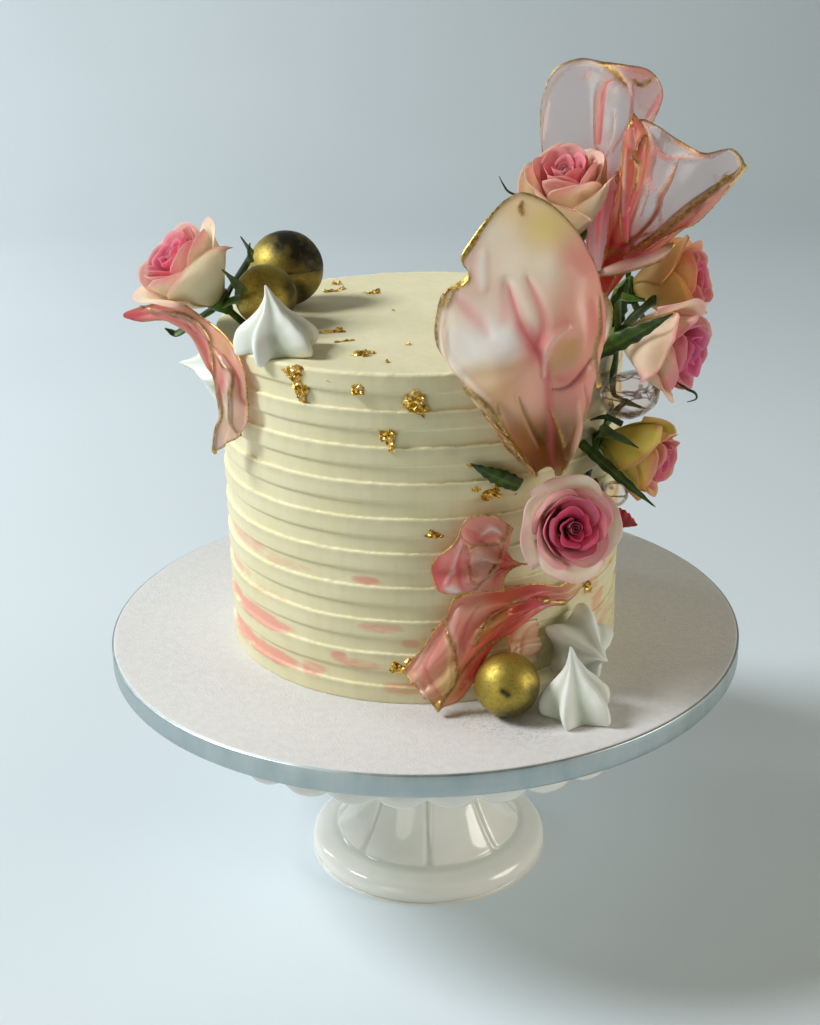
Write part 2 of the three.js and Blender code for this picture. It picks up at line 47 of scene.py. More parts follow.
# ---------------------------------------------------------------- sizes shared with the solids

STAND_HEIGHT = 118

PLATE_RADIUS = 127.5
SKIRT_DEPTH = 21
SCALLOPS = 36
SCALLOP_RISE = 2.5
PANELS = 8
BOARD_TOP = 129
BOARD_RADIUS = 152.5
CAKE_RADIUS = 93
BAND_PITCH = 15.8
BAND_WIDTH = 8.2
BAND_DEPTH = 1.3
BANDS = 10
CAKE_HEIGHT = BAND_PITCH * (BANDS - 1) + BAND_WIDTH
CAKE_TOP = BOARD_TOP + CAKE_HEIGHT
GAP = 0.3  # between pieces that only touch


def place(x, y, height):
    """A place given by its height above the board."""
    return np.array([x, y, BOARD_TOP + height], float)


# ---------------------------------------------------------------- camera

PICTURE = (820, 1025)
FOCAL = 1566.88  # in pixels of the picture
EYE = np.array([0, -701.93, 459.9])
PITCH, YAW, ROLL = (math.radians(a) for a in (21.529, 0.5024, -1.1320))
RIGHT = np.array([math.cos(YAW), math.sin(YAW), 0])
FORWARD = np.array([-math.sin(YAW) * math.cos(PITCH), math.cos(YAW) * math.cos(PITCH), -math.sin(PITCH)])
ABOVE = np.cross(RIGHT, FORWARD)
ACROSS = RIGHT * math.cos(ROLL) + ABOVE * math.sin(ROLL)
UPWARD = ABOVE * math.cos(ROLL) - RIGHT * math.sin(ROLL)


def make_camera():
    camera = bpy.data.objects.new("camera", bpy.data.cameras.new("camera"))
    axes = Matrix([ACROSS, UPWARD, -FORWARD]).transposed()
    camera.matrix_world = Matrix.Translation(Vector(EYE * MM)) @ axes.to_4x4()
    camera.data.sensor_fit = "VERTICAL"
    camera.data.sensor_height = 24
    camera.data.lens = FOCAL / PICTURE[1] * camera.data.sensor_height
    camera.data.clip_start = 0.05
    camera.data.clip_end = 60
    bpy.context.scene.collection.objects.link(camera)
    bpy.context.scene.camera = camera


def drawn(points):
    """Where points fall on the picture, which is how the painted strokes below are placed."""
    away = points - EYE
    depth = away @ FORWARD
    x = PICTURE[0] / 2 + FOCAL * (away @ ACROSS) / depth
    y = PICTURE[1] / 2 - FOCAL * (away @ UPWARD) / depth
    return np.stack([x, y], -1)


# ---------------------------------------------------------------- numbers and curves


def smooth(low, high, x):
    """0 at low, 1 at high and a smooth step between them. low may be the greater one."""
    t = np.clip((np.asarray(x, float) - low) / (high - low), 0, 1)
    return t * t * (3 - 2 * t)


def along(rows, t):
    """The rows of a list as one smooth line: its values at each t from 0 to 1."""
    rows = np.asarray(rows, float)
    last = len(rows) - 1
    x = np.clip(t, 0, 1) * last
    i = np.minimum(np.floor(x).astype(int), last - 1)
    f = (x - i)[..., None]
    a, b, p, q = (rows[np.clip(i + k, 0, last)] for k in (-1, 0, 1, 2))
    return b + 0.5 * f * (p - a + f * (2 * a - 5 * b + 4 * p - q + f * (3 * (b - p) + q - a)))


def near(spots, line, width, taper=0.0):
    """How near spots on the picture are to a smooth line: 1 on it, 0 a width away from it.

    A tapered line gets thinner towards both ends.
    """
    share = np.linspace(0, 1, 6 * len(line))
    line = along(line, share)
    here = np.zeros(spots.shape[:-1])
    for a, b, t in zip(line[:-1], line[1:], share[:-1]):
        run = b - a
        f = np.clip(((spots - a) @ run) / (run @ run), 0, 1)
        apart = np.linalg.norm(spots - a - f[..., None] * run, axis=-1)
        wide = width * (1 - taper * abs(2 * t - 1) ** 2)
        here = np.maximum(here, smooth(wide, 0, apart))
    return here


def fuzz(points, size, seed=0):
    """Smooth noise from about -1 to 1 at each point, with features of that size."""
    flat = np.asarray(points, float).reshape(-1, 3) / size + 17.3 * seed
    values = [noise.noise(Vector(p)) for p in flat]
    return np.array(values).reshape(np.shape(points)[:-1]) * 1.6


def table(text):
    """The rows of a text table: commas end its rows, and spaces part their numbers and names."""
    rows = [row.split() for row in text.split(",")]
    return [[float(cell) if cell[-1].isdigit() else cell for cell in row] for row in rows]


def drawing(text):
    """Lines drawn on the picture, one to a row of text: words that describe it, a colon, its x,y spots."""
    for row in text.strip().split("\n"):
        words, spots = row.split(":")
        yield words.split(), np.array([spot.split(",") for spot in spots.split()], float)


def linear(code):
    """A colour such as "#d0a040" as linear light."""
    shades = [int(code[i : i + 2], 16) / 255 for i in (1, 3, 5)]
    return np.array([s / 12.92 if s <= 0.04045 else ((s + 0.055) / 1.055) ** 2.4 for s in shades])


def blend(a, b, share):
    share = np.asarray(share, float)[..., None]
    return a * (1 - share) + b * share


# ---------------------------------------------------------------- meshes


def grid_faces(rows, columns, wrap=False):
    r = np.arange(rows - 1)[:, None]
    c = np.arange(columns if wrap else columns - 1)[None, :]
    a, b = r * columns + c, r * columns + (c + 1) % columns
    return np.stack([a, b, b + columns, a + columns], -1).reshape(-1, 4)


def normals(grid, wrap=False):
    if wrap:
        across = np.roll(grid, -1, 1) - np.roll(grid, 1, 1)
    else:
        across = np.gradient(grid, axis=1)
    normal = np.cross(across, np.gradient(grid, axis=0))
    return normal / (np.linalg.norm(normal, axis=-1, keepdims=True) + 1e-12)


class Shape:
    """Points, faces, colours and one more painted value, gathered for one mesh."""

    def __init__(self):
        self.points, self.faces, self.paints, self.values = [], [], [], []
        self.count = 0

    def add(self, points, faces, paint=(1, 1, 1), value=0.0):
        flat = np.asarray(points, float).reshape(-1, 3)
        size = len(flat)
        self.points.append(flat)
        self.faces.extend([[i + self.count for i in face] for face in faces])
        paint = np.asarray(paint, float)
        if paint.ndim > 1:
            paint = paint.reshape(-1, paint.shape[-1])
        if paint.shape[-1] == 3:
            paint = np.concatenate([paint, np.ones(paint.shape[:-1] + (1,))], -1)
        self.paints.append(np.broadcast_to(paint, (size, 4)))
        value = np.asarray(value, float)
        self.values.append(np.broadcast_to(value.reshape(-1) if value.ndim else value, (size,)))
        self.count += size

    def sheet(self, grid, thickness, paint=(1, 1, 1), value=0.0, thin_edge=1.0):
        """A closed thin sheet about a grid of points."""
        rows, columns = grid.shape[:2]
        r = np.arange(rows)[:, None]
        c = np.arange(columns)[None, :]
        inside = np.minimum(np.minimum(r, rows - 1 - r), np.minimum(c, columns - 1 - c))
        half = thickness / 2 * (thin_edge + (1 - thin_edge) * np.minimum(1, inside / 2))
        offset = normals(grid) * half[..., None]
        front = grid_faces(rows, columns)
        back = front[:, ::-1] + rows * columns
        rim = np.concatenate([
            r[0] * columns + c[0],
            (r[1:, 0] * columns + columns - 1),
            (rows - 1) * columns + c[0, -2::-1],
            r[-2:0:-1, 0] * columns,
        ])
        after = np.roll(rim, -1)
        side = np.stack([after, rim, rim + rows * columns, after + rows * columns], -1)
        both = np.stack([grid + offset, grid - offset])
        paint, value = np.asarray(paint, float), np.asarray(value, float)
        if paint.ndim == 3:
            paint = np.stack([paint, paint])
        if value.ndim == 2:
            value = np.stack([value, value])
        self.add(both, np.concatenate([front, back, side]).tolist(), paint, value)

    def turned(self, rings, low, high, paint=(1, 1, 1), value=0.0):
        """A closed body of rings (rows, steps, 3) between a lower and an upper pole."""
        rows, steps = rings.shape[:2]
        points = np.concatenate([rings.reshape(-1, 3), [low], [high]])
        faces = grid_faces(rows, steps, wrap=True).tolist()
        bottom, top, first = rows * steps, rows * steps + 1, (rows - 1) * steps
        for i in range(steps):
            j = (i + 1) % steps
            faces += [[bottom, j, i], [top, first + i, first + j]]

        def with_poles(values):
            values = np.asarray(values, float)
            if values.ndim < 2:
                return values
            flat = values.reshape((rows * steps,) + values.shape[2:])
            return np.concatenate([flat, flat[:1], flat[-1:]])

        self.add(points, faces, with_poles(paint), with_poles(value))

    def moved(self, matrix, last=0):
        """Turns and moves the last bodies that were added, or all of them."""
        turn, shift = np.array(matrix.to_3x3()), np.array(matrix.to_translation())
        self.points[-last:] = [p @ turn.T + shift for p in self.points[-last:]]

    def piece(self, name, material, slot, *nodes, flat=False):
        """The finished object, riding on the one body and standing for its nodes."""
        mesh = bpy.data.meshes.new(name)
        mesh.from_pydata((np.concatenate(self.points) * MM).tolist(), [], self.faces)
        mesh.polygons.foreach_set("use_smooth", np.full(len(mesh.polygons), not flat))
        paint = mesh.color_attributes.new("paint", "FLOAT_COLOR", "POINT")
        paint.data.foreach_set("color", np.concatenate(self.paints).ravel())
        value = mesh.attributes.new("value", "FLOAT", "POINT")
        value.data.foreach_set("value", np.concatenate(self.values))
        mesh.materials.append(material)
        mesh.update()
        made = bpy.data.objects.new(name, mesh)
        bpy.context.scene.collection.objects.link(made)
        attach(made, "root")
        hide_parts(*nodes)
        return made


def spans(rows, columns):
    """0 to 1 down the rows of a grid, and -1 to 1 across its columns."""
    return np.linspace(0, 1, rows)[:, None], np.linspace(-1, 1, columns)[None, :]


def round_points(radius, turn, z):
    """Points about the Z axis."""
    return np.stack(np.broadcast_arrays(radius * np.cos(turn), radius * np.sin(turn), z), -1)


def rings_of(profile, steps, vary=None):
    """Rings of points from [radius, z] rows. vary(radius, z, turn) can change both."""
    profile = np.asarray(profile, float)
    turn = np.linspace(0, 2 * math.pi, steps, endpoint=False)[None, :]
    radius = np.repeat(profile[:, :1], steps, 1)
    z = np.repeat(profile[:, 1:2], steps, 1)
    if vary:
        radius, z = vary(radius, z, turn)
    return round_points(radius, turn, z)


def standing(at, axis=(0, 0, 1), spin=0.0):
    """The matrix that sets a body made along +Z at a place, along an axis."""
    turn = UP.rotation_difference(Vector(axis).normalized())
    turn = turn @ Quaternion(UP, math.radians(spin))
    return Matrix.Translation(Vector(at)) @ turn.to_matrix().to_4x4()


# ---------------------------------------------------------------- materials


class Nodes:
    """A node material in the making. Texture sizes are in metres, on the object's own coordinates."""

    SOCKETS = {
        "normal": "Normal", "metal": "Metallic", "gleam": "Specular IOR Level", "coat": "Coat Weight",
        "coat_rough": "Coat Roughness", "sheen": "Sheen Weight",
    }  # fmt: skip

    def __init__(self, name):
        self.material = bpy.data.materials.new(name)
        self.material.use_nodes = True
        self.tree = self.material.node_tree
        self.tree.nodes.clear()
        self.place = self.node("TexCoord").outputs["Object"]
        paint = self.node("Attribute", attribute_name="paint")
        self.paint, self.alpha = paint.outputs["Color"], paint.outputs["Alpha"]
        self.value = self.node("Attribute", attribute_name="value").outputs["Fac"]

    def node(self, kind, inputs=None, **settings):
        node = self.tree.nodes.new("ShaderNode" + kind)
        for key, value in settings.items():
            setattr(node, key, value)
        for key, value in (inputs or {}).items():
            if isinstance(value, bpy.types.NodeSocket):
                self.tree.links.new(value, node.inputs[key])
            else:
                node.inputs[key].default_value = value
        return node

    def noise(self, size, detail=3.0, stretch=(1, 1, 1), rough=0.5, distortion=0.0):
        scaled = self.node("Mapping", {"Vector": self.place, "Scale": stretch}).outputs[0]
        inputs = {"Vector": scaled, "Scale": 1 / size, "Detail": detail}
        return self.node("TexNoise", {**inputs, "Roughness": rough, "Distortion": distortion}).outputs["Fac"]

    def cells(self, size):
        return self.node("TexVoronoi", {"Vector": self.place, "Scale": 1 / size}).outputs["Distance"]

    def math(self, operation, a, b=0.0, clamp=False):
        return self.node("Math", {0: a, 1: b}, operation=operation, use_clamp=clamp).outputs[0]

    def times(self, a, b):
        return self.math("MULTIPLY", a, b)

    def plus(self, a, b, clamp=False):
        return self.math("ADD", a, b, clamp)

    def spread(self, value, low=0.3, high=0.7, start=0.0, end=1.0):
        """value's range low to high, as start to end."""
        inputs = {"Value": value, "From Min": low, "From Max": high, "To Min": start, "To Max": end}
        return self.node("MapRange", inputs).outputs[0]

    def mix(self, share, a, b, way="MIX"):
        """Colours mixed, each of them a socket or a code such as "#d0a040"."""
        a, b = (c if isinstance(c, bpy.types.NodeSocket) else (*linear(c), 1.0) for c in (a, b))
        return self.node("Mix", {0: share, 6: a, 7: b}, data_type="RGBA", blend_type=way).outputs[2]

    def bump(self, height, strength, distance):
        return self.node("Bump", {"Height": height, "Strength": strength, "Distance": distance}).outputs[0]

    def shader(self, kind, **inputs):
        """A plain shader, with its inputs named in small letters."""
        return self.node(kind, {key.title(): value for key, value in inputs.items()}).outputs[0]

    def surface(self, body, texture, smoothest, roughest, under=None, **more):
        """A principled shader, as rough as a texture says. under is the weight and reach of its glow."""
        rough = self.spread(texture, start=smoothest, end=roughest)
        inputs = {"Base Color": body, "Roughness": rough}
        inputs |= {self.SOCKETS[key]: value for key, value in more.items()}
        if under:
            inputs |= {"Subsurface Weight": under[0], "Subsurface Radius": under[1], "Subsurface Scale": 1.0}
        return self.node("BsdfPrincipled", inputs).outputs[0]

    def mixed(self, share, a, b):
        return self.node("MixShader", {0: share, 1: a, 2: b}).outputs[0]

    def done(self, shader):
        self.node("OutputMaterial", {"Surface": shader})
        return self.material


def icing_material():
    """Buttercream: value says how strongly pink colour was smeared on, alpha how warm the smear is."""
    n = Nodes("icing")
    cloud, scraped = n.noise(0.03, 2), n.noise(0.0045, 4, stretch=(1, 1, 0.1))
    body = n.mix(n.spread(cloud), "#e4ddb6", "#e9e3c1")
    body = n.mix(n.spread(scraped, 0.4, 0.7, 0, 0.25), body, "#d9d1a2")
    torn = n.noise(0.005, 5, stretch=(0.4, 0.4, 1.2), distortion=1.0)
    smear = n.math("SUBTRACT", n.times(n.value, 1.7), n.spread(torn, end=0.85), True)
    body = n.mix(n.times(smear, 0.8), body, n.mix(n.alpha, "#e99c8e", "#e3a77c"))
    body = n.mix(1.0, body, n.paint, "MULTIPLY")
    pits = n.spread(n.cells(0.0045), 0.0, 0.09)
    height = n.plus(n.times(scraped, 0.7), n.times(pits, 0.25))
    normal = n.bump(n.plus(height, n.times(n.noise(0.0016), 0.35)), 0.45, 0.0006)
    glow = (0.12, (0.003, 0.0022, 0.0012))
    return n.done(n.surface(body, cloud, 0.5, 0.62, glow, gleam=0.35, normal=normal))


def porcelain_material():
    """White glaze, painted a little green-grey where value is 1: painted shade in the grooves and below the
    panels' feet, and over the skirt.
    """
    n = Nodes("porcelain")
    cloud = n.noise(0.02, 2)
    body = n.mix(n.spread(cloud, 0.35, 0.65), "#ebece5", "#f1f0ea")
    body = n.mix(n.times(n.value, 0.55), body, "#b9c0b4")
    normal = n.bump(cloud, 0.15, 0.001)
    return n.done(n.surface(body, n.noise(0.012), 0.1, 0.16, coat=0.4, coat_rough=0.06, normal=normal))


def board_material():
    """Embossed white paper where value is 0, with gold dust where alpha is low, and foil where it is 1."""
    n = Nodes("board")
    fibre, dust = n.noise(0.0035, 4), n.noise(0.0012, 2)
    paper = n.mix(n.spread(fibre), "#dbdbdd", "#e4e3e3")
    gold = n.math("MULTIPLY", n.spread(n.alpha, 0.98, 0.0), n.spread(dust, 0.52, 0.62), True)
    paper = n.mix(n.times(gold, 0.3), paper, "#94805c")
    grain = n.bump(n.plus(n.cells(0.0011), fibre), 0.35, 0.0004)
    top = n.surface(paper, fibre, 0.5, 0.62, gleam=0.4, normal=grain)
    crease = n.noise(0.01, 4, stretch=(1, 1, 0.3))
    silver = n.mix(n.spread(crease), "#a9b6b8", "#bcc7c8")
    foil = n.surface(silver, crease, 0.34, 0.46, metal=0.85, normal=n.bump(crease, 0.25, 0.0006))
    return n.done(n.mixed(n.value, top, foil))


def gold_dust_material():
    """Chocolate rubbed with gold dust, with random worn patches, and painted dark where value is 1: mostly
    painted shade and a painted dark reflection on the side away from the light, and the dark seam.
    """
    n = Nodes("gold_dust")
    patch, grain = n.noise(0.006, 5, rough=0.65), n.noise(0.0011, 4, rough=0.7)
    worn = n.plus(n.spread(patch, 0.45, 0.8, 0, 0.35), n.value, True)
    body = n.mix(worn, "#b8a44e", "#1e190a")
    body = n.mix(n.spread(grain, 0.5, 0.72, 0, 0.55), body, "#4a3f1c")
    metal = n.spread(worn, 0, 1, 0.9, 0.45)
    return n.done(n.surface(body, grain, 0.44, 0.56, metal=metal, normal=n.bump(grain, 0.3, 0.0003)))


def gold_leaf_material():
    n = Nodes("gold_leaf")
    crease = n.noise(0.0022, distortion=1.4)
    # Painted shade and highlight: the colour follows the crumple relief, darker brown-gold in its hollows and
    # bright yellow on its ridges, and the pale patches are painted glints.
    body = n.mix(n.spread(crease, 0.42, 0.6), "#a87e2e", "#fcd468")
    body = n.mix(n.spread(n.noise(0.004), 0.5, 0.66, 0, 0.8), body, "#f8e4a4")
    return n.done(n.surface(body, crease, 0.2, 0.34, metal=0.7, normal=n.bump(crease, 0.5, 0.0005)))


def meringue_material():
    """White meringue, painted a little green-grey in its creases, where value is 1, as painted shade."""
    n = Nodes("meringue")
    cloud, fine = n.noise(0.006), n.noise(0.0009)
    body = n.mix(n.spread(cloud), "#e4e9e2", "#eceee8")
    body = n.mix(n.times(n.value, 0.65), body, "#b4c0ae")
    normal = n.bump(n.plus(fine, cloud), 0.12, 0.0006)
    return n.done(n.surface(body, fine, 0.5, 0.62, (0.15, (0.003,) * 3), gleam=0.35, normal=normal))


def petal_material():
    """Rose petals: the painted colour with veins, and a few bruises where value is high."""
    n = Nodes("petal")
    cloud, vein = n.noise(0.007), n.noise(0.0016, 4, rough=0.6)
    body = n.mix(n.spread(cloud, 0.35, 0.65, 0, 0.1), n.paint, "#f6e4c6", "MULTIPLY")
    body = n.mix(n.spread(vein, 0.45, 0.75, 0, 0.08), body, "#f0c4b4", "MULTIPLY")
    bruise = n.spread(n.noise(0.0028, 2), 0.7, 0.76, 0, 0.5)
    body = n.mix(n.times(bruise, n.value), body, "#8a4a3c")
    normal = n.bump(n.plus(vein, cloud), 0.25, 0.0005)
    glow = (0.1, (0.004, 0.002, 0.0015))
    leaf = n.surface(body, vein, 0.42, 0.58, glow, gleam=0.35, sheen=0.12, normal=normal)
    return n.done(n.mixed(0.42, leaf, n.shader("BsdfTranslucent", color=body)))


def green_material():
    """Leaves, sepals, hips and stems: value runs from dark leaf green to a bright young green."""
    n = Nodes("green")
    cloud, vein = n.noise(0.004), n.noise(0.0012, 4, stretch=(1, 1, 0.4))
    young = n.plus(n.times(n.value, 0.8), n.spread(cloud, 0.4, 0.7, 0, 0.25), True)
    body = n.mix(young, "#16280c", "#649428")
    body = n.mix(n.spread(vein, 0.5, 0.75, 0, 0.4), body, "#2c3a1a")
    return n.done(n.surface(body, vein, 0.36, 0.52, gleam=0.4, normal=n.bump(vein, 0.35, 0.0004)))


def sail_material():
    """Gelatine film: paint is its colour together with painted highlights and painted shade, alpha how milky
    it is, and value how gilded.
    """
    n = Nodes("sail")
    cloud, fine = n.noise(0.012), n.noise(0.0022, 4, distortion=0.8)
    body = n.mix(n.spread(cloud, 0.35, 0.7, 0, 0.08), n.paint, "#f8dccc", "MULTIPLY")
    ripple = n.bump(n.plus(cloud, n.times(fine, 0.15)), 0.2, 0.0012)
    skin = n.surface(body, fine, 0.3, 0.4, coat=0.4, coat_rough=0.2, normal=ripple)
    milky = n.mixed(0.4, skin, n.shader("BsdfTranslucent", color=body))
    see = n.shader("BsdfTransparent", color=n.mix(0.05, "#fff7f6", body))
    gloss = n.shader("BsdfGlossy", roughness=0.2, normal=ripple)
    film = n.mixed(n.node("Fresnel", {"IOR": 1.2, "Normal": ripple}).outputs[0], see, gloss)
    flecked = n.noise(0.0016, rough=0.7)
    gold = n.mix(n.spread(flecked, 0.35, 0.65), "#8a6426", "#fad67a")
    gilt = n.surface(gold, flecked, 0.28, 0.45, metal=0.75, normal=n.bump(flecked, 0.4, 0.0003))
    gilded = n.times(n.value, n.spread(flecked, 0.3, 0.5, 0.55, 1.0))
    return n.done(n.mixed(gilded, n.mixed(n.alpha, film, milky), gilt))


def bubble_material():
    """Blown clear sugar with faint caramel swirls: value is where gold dust clings to it."""
    n = Nodes("bubble")
    swirl = n.noise(0.014, 1, stretch=(1, 1, 2), distortion=0.6)
    line = n.math("ABSOLUTE", n.math("SUBTRACT", swirl, 0.5))
    dark = n.plus(n.times(n.spread(line, 0.035, 0.0), 0.75), n.value, True)
    ripple = n.bump(swirl, 0.15, 0.001)
    shine = n.times(n.node("Fresnel", {"IOR": 1.3, "Normal": ripple}).outputs[0], 0.5)
    see = n.shader("BsdfTransparent", color=(0.99, 0.95, 0.93, 1))
    film = n.mixed(shine, see, n.shader("BsdfGlossy", roughness=0.04, normal=ripple))
    caramel = n.mix(n.value, "#7a5638", "#c49a48")
    sugar = n.surface(caramel, swirl, 0.15, 0.3, metal=0.2, coat=0.8, normal=ripple)
    return n.done(n.mixed(dark, film, sugar))


def floor_material():
    n = Nodes("floor")
    body = n.mix(n.spread(n.noise(0.6, 2)), "#d9e4eb", "#dfe9f0")
    return n.done(n.surface(body, n.noise(0.01), 0.7, 0.8, gleam=0.2))


# ---------------------------------------------------------------- stand and board


def make_stand(material):
    """A ringed foot, a bell of eight raised panels and a plate whose skirt ends in scallops."""
    plate = STAND_HEIGHT - 7
    outline = table("""
        .5 .2, 55 0, 58.5 .5, 60 3, 59.8 6, 58.3 8.8, 56 10.2, 53 11, 50.6 11.6, 48.3 12.8, 46 15, 43 18.6,
        39.2 24.5, 36 30.5, 33.4 36, 30.4 44, 28 55, 27.8 66, 29 78, 32.6 88.5, 38 97, 44.5 105""")
    profile = along(outline + [[52, plate]], np.linspace(0, 1, 130))
    panel_foot, corner, groove, depth = 12.4, 3.5, 1.2, None

    def panelled(radius, z, turn):
        nonlocal depth
        side = np.abs((turn * PANELS / (2 * math.pi)) % 1 - 0.5)  # 0.5 in a groove
        apart = (0.5 - side) * 2 * math.pi / PANELS * radius
        above = z - panel_foot
        inside = np.minimum(apart, above)
        round_off = corner - np.hypot(np.maximum(corner - apart, 0), np.maximum(corner - above, 0))
        inside = np.where((apart < corner) & (above < corner), round_off, inside)
        fade = smooth(112, 96, z)  # the panels end below the plate
        depth = smooth(11.2, panel_foot, z) * (1 - smooth(0.3, 2.1, inside) * fade) * fade
        return radius - groove * depth, z

    shape = Shape()
    rings = rings_of(profile, steps=240, vary=panelled)
    # Painted shade: value darkens the grooves between the panels and the strip below their feet.
    shape.turned(rings, [0, 0, 0.2], [0, 0, plate + 1], value=0.8 * depth)

    top, rim, hem = STAND_HEIGHT, PLATE_RADIUS, STAND_HEIGHT - SKIRT_DEPTH
    inner = rim - 4.2  # the inside of the skirt
    skirt = [
        [30, plate], [inner - 4, plate], [inner - 1, plate - 2], [inner - 0.2, plate - 6],
        [inner + 0.6, hem + 3], [inner + 1.2, hem + 0.5], [inner + 2.2, hem - 0.1], [inner + 3.4, hem + 0.1],
        [rim, hem + 1.2], [rim - 0.2, hem + 5], [rim - 1, hem + 12],
        [rim - 1.8, top - 2], [rim - 3, top - 0.2], [100, top - 0.1],
    ]  # fmt: skip

    def scalloped(radius, z, turn):
        arch = np.abs(np.sin(SCALLOPS * turn / 2))
        low = smooth(hem + 16, hem, z)
        fluted = 0.9 * low * (arch**0.8 - 0.7)
        outside = smooth(inner - 1, inner + 2, radius)
        return radius + fluted * outside, z + (SCALLOP_RISE + 1.2) * (1 - arch) ** 1.3 * low

    rings = rings_of(skirt, steps=SCALLOPS * 16, vary=scalloped)
    # Painted shade: the whole skirt is tinted a little green-grey, as it hangs in the board's shade.
    shape.turned(rings, [0, 0, plate], [0, 0, top - 0.1], value=0.15)
    shape.piece("stand", material, "porcelain", "cake_stand")


# Gold dust fallen on the board, at the lowest ball and beside it, as spots of the picture.
DUST_AT_BALL = table("470 716, 505 728, 545 730")
DUST_BESIDE = table("400 708, 440 722")


def make_board(material):
    """The foil-wrapped board, with gold dust fallen round the lowest ball."""
    low, high, edge = STAND_HEIGHT, BOARD_TOP, BOARD_RADIUS
    foil = [
        [120, low + 0.02], [edge - 1.2, low], [edge - 0.4, low + 0.3], [edge, low + 1.2],
        [edge - 0.1, low + 4], [edge, high - 4], [edge - 0.05, high - 1.1], [edge - 0.25, high - 0.45],
    ]  # fmt: skip
    paper = [[edge - 0.9, high - 0.55], [edge - 1.1, high - 0.1], [edge - 1.8, high]]
    paper += [[r, high] for r in np.linspace(edge - 4, 3, 42)]
    rings = rings_of(foil + paper, steps=360)
    row = np.arange(len(rings))[:, None] + 0 * rings[..., 0]
    on_foil, seam = row < len(foil), row == len(foil)
    spots = drawn(rings)
    dust = np.maximum(near(spots, DUST_AT_BALL, 26), 0.35 * near(spots, DUST_BESIDE, 20))
    paint = np.ones(rings.shape[:2] + (4,))
    paint[..., 3] = 1 - dust * (1 - on_foil)
    shape = Shape()
    shape.turned(rings, [0, 0, low], [0, 0, high], paint, on_foil | seam)
    shape.piece("board", material, "board", "cake_board")


# ---------------------------------------------------------------- the tier

# Pink smeared on the icing: degrees from the front, height, half width in degrees, half height,
# strength and warmth. The first ones are seen in front, the last ones carry them on round the back.
SMEARS = table("""
-62 60.5 15 3.4 .55 0, -45 58.5 14 3 .4 .2, -70 43 12 3 .5 0, -50 40 10 2.6 .35 .2, -78 27 14 3.6 .9 0,
-56 26 16 3.8 1 0, -70 11 16 4 .9 0, -50 10 13 4 1 0, -15.5 57.8 5 2.2 .9 0, -12 36.5 7 3 .7 .1,
-24 20 3 2.6 .9 0, -33 10.5 5 3.2 .7 0, -18 18 7 3.2 .6 .6, -4 29 3 3 .6 .3, -6 7 7 3 .7 1, 6 12 8 3 .5 1,
54 38 6 6 .6 .7, 60 28 5 7 .7 .7, 70 44 8 5 .6 .6, 66 16 9 4 .6 .5, 95 26 14 4 .8 .3, 104 57 12 3 .5 .2,
122 11 15 4 .8 0, 140 42 13 3 .5 .1, 158 27 15 4 .9 0, -175 10 14 4 .8 .2, -168 58 10 3 .4 0,
-146 26 15 4 .8 .1, -128 43 12 3 .5 0, -118 11 15 4 .9 0, -100 27 12 3.6 .8 0""")


def smeared(rings):
    """How much pink lies at each point, and how warm it is."""
    x, y, z = np.moveaxis(rings, -1, 0)
    degrees = np.degrees(np.arctan2(x, -y))
    height = z - BOARD_TOP
    amount, warm = np.zeros(z.shape), np.zeros(z.shape)
    for at, level, wide, tall, strength, warmth in SMEARS:
        aside = (degrees - at + 180) % 360 - 180
        here = strength * smooth(1.35, 0.55, np.hypot(aside / wide, (height - level) / tall))
        warm = np.where(here > amount, warmth, warm)
        amount = np.maximum(amount, here)
    return amount, warm


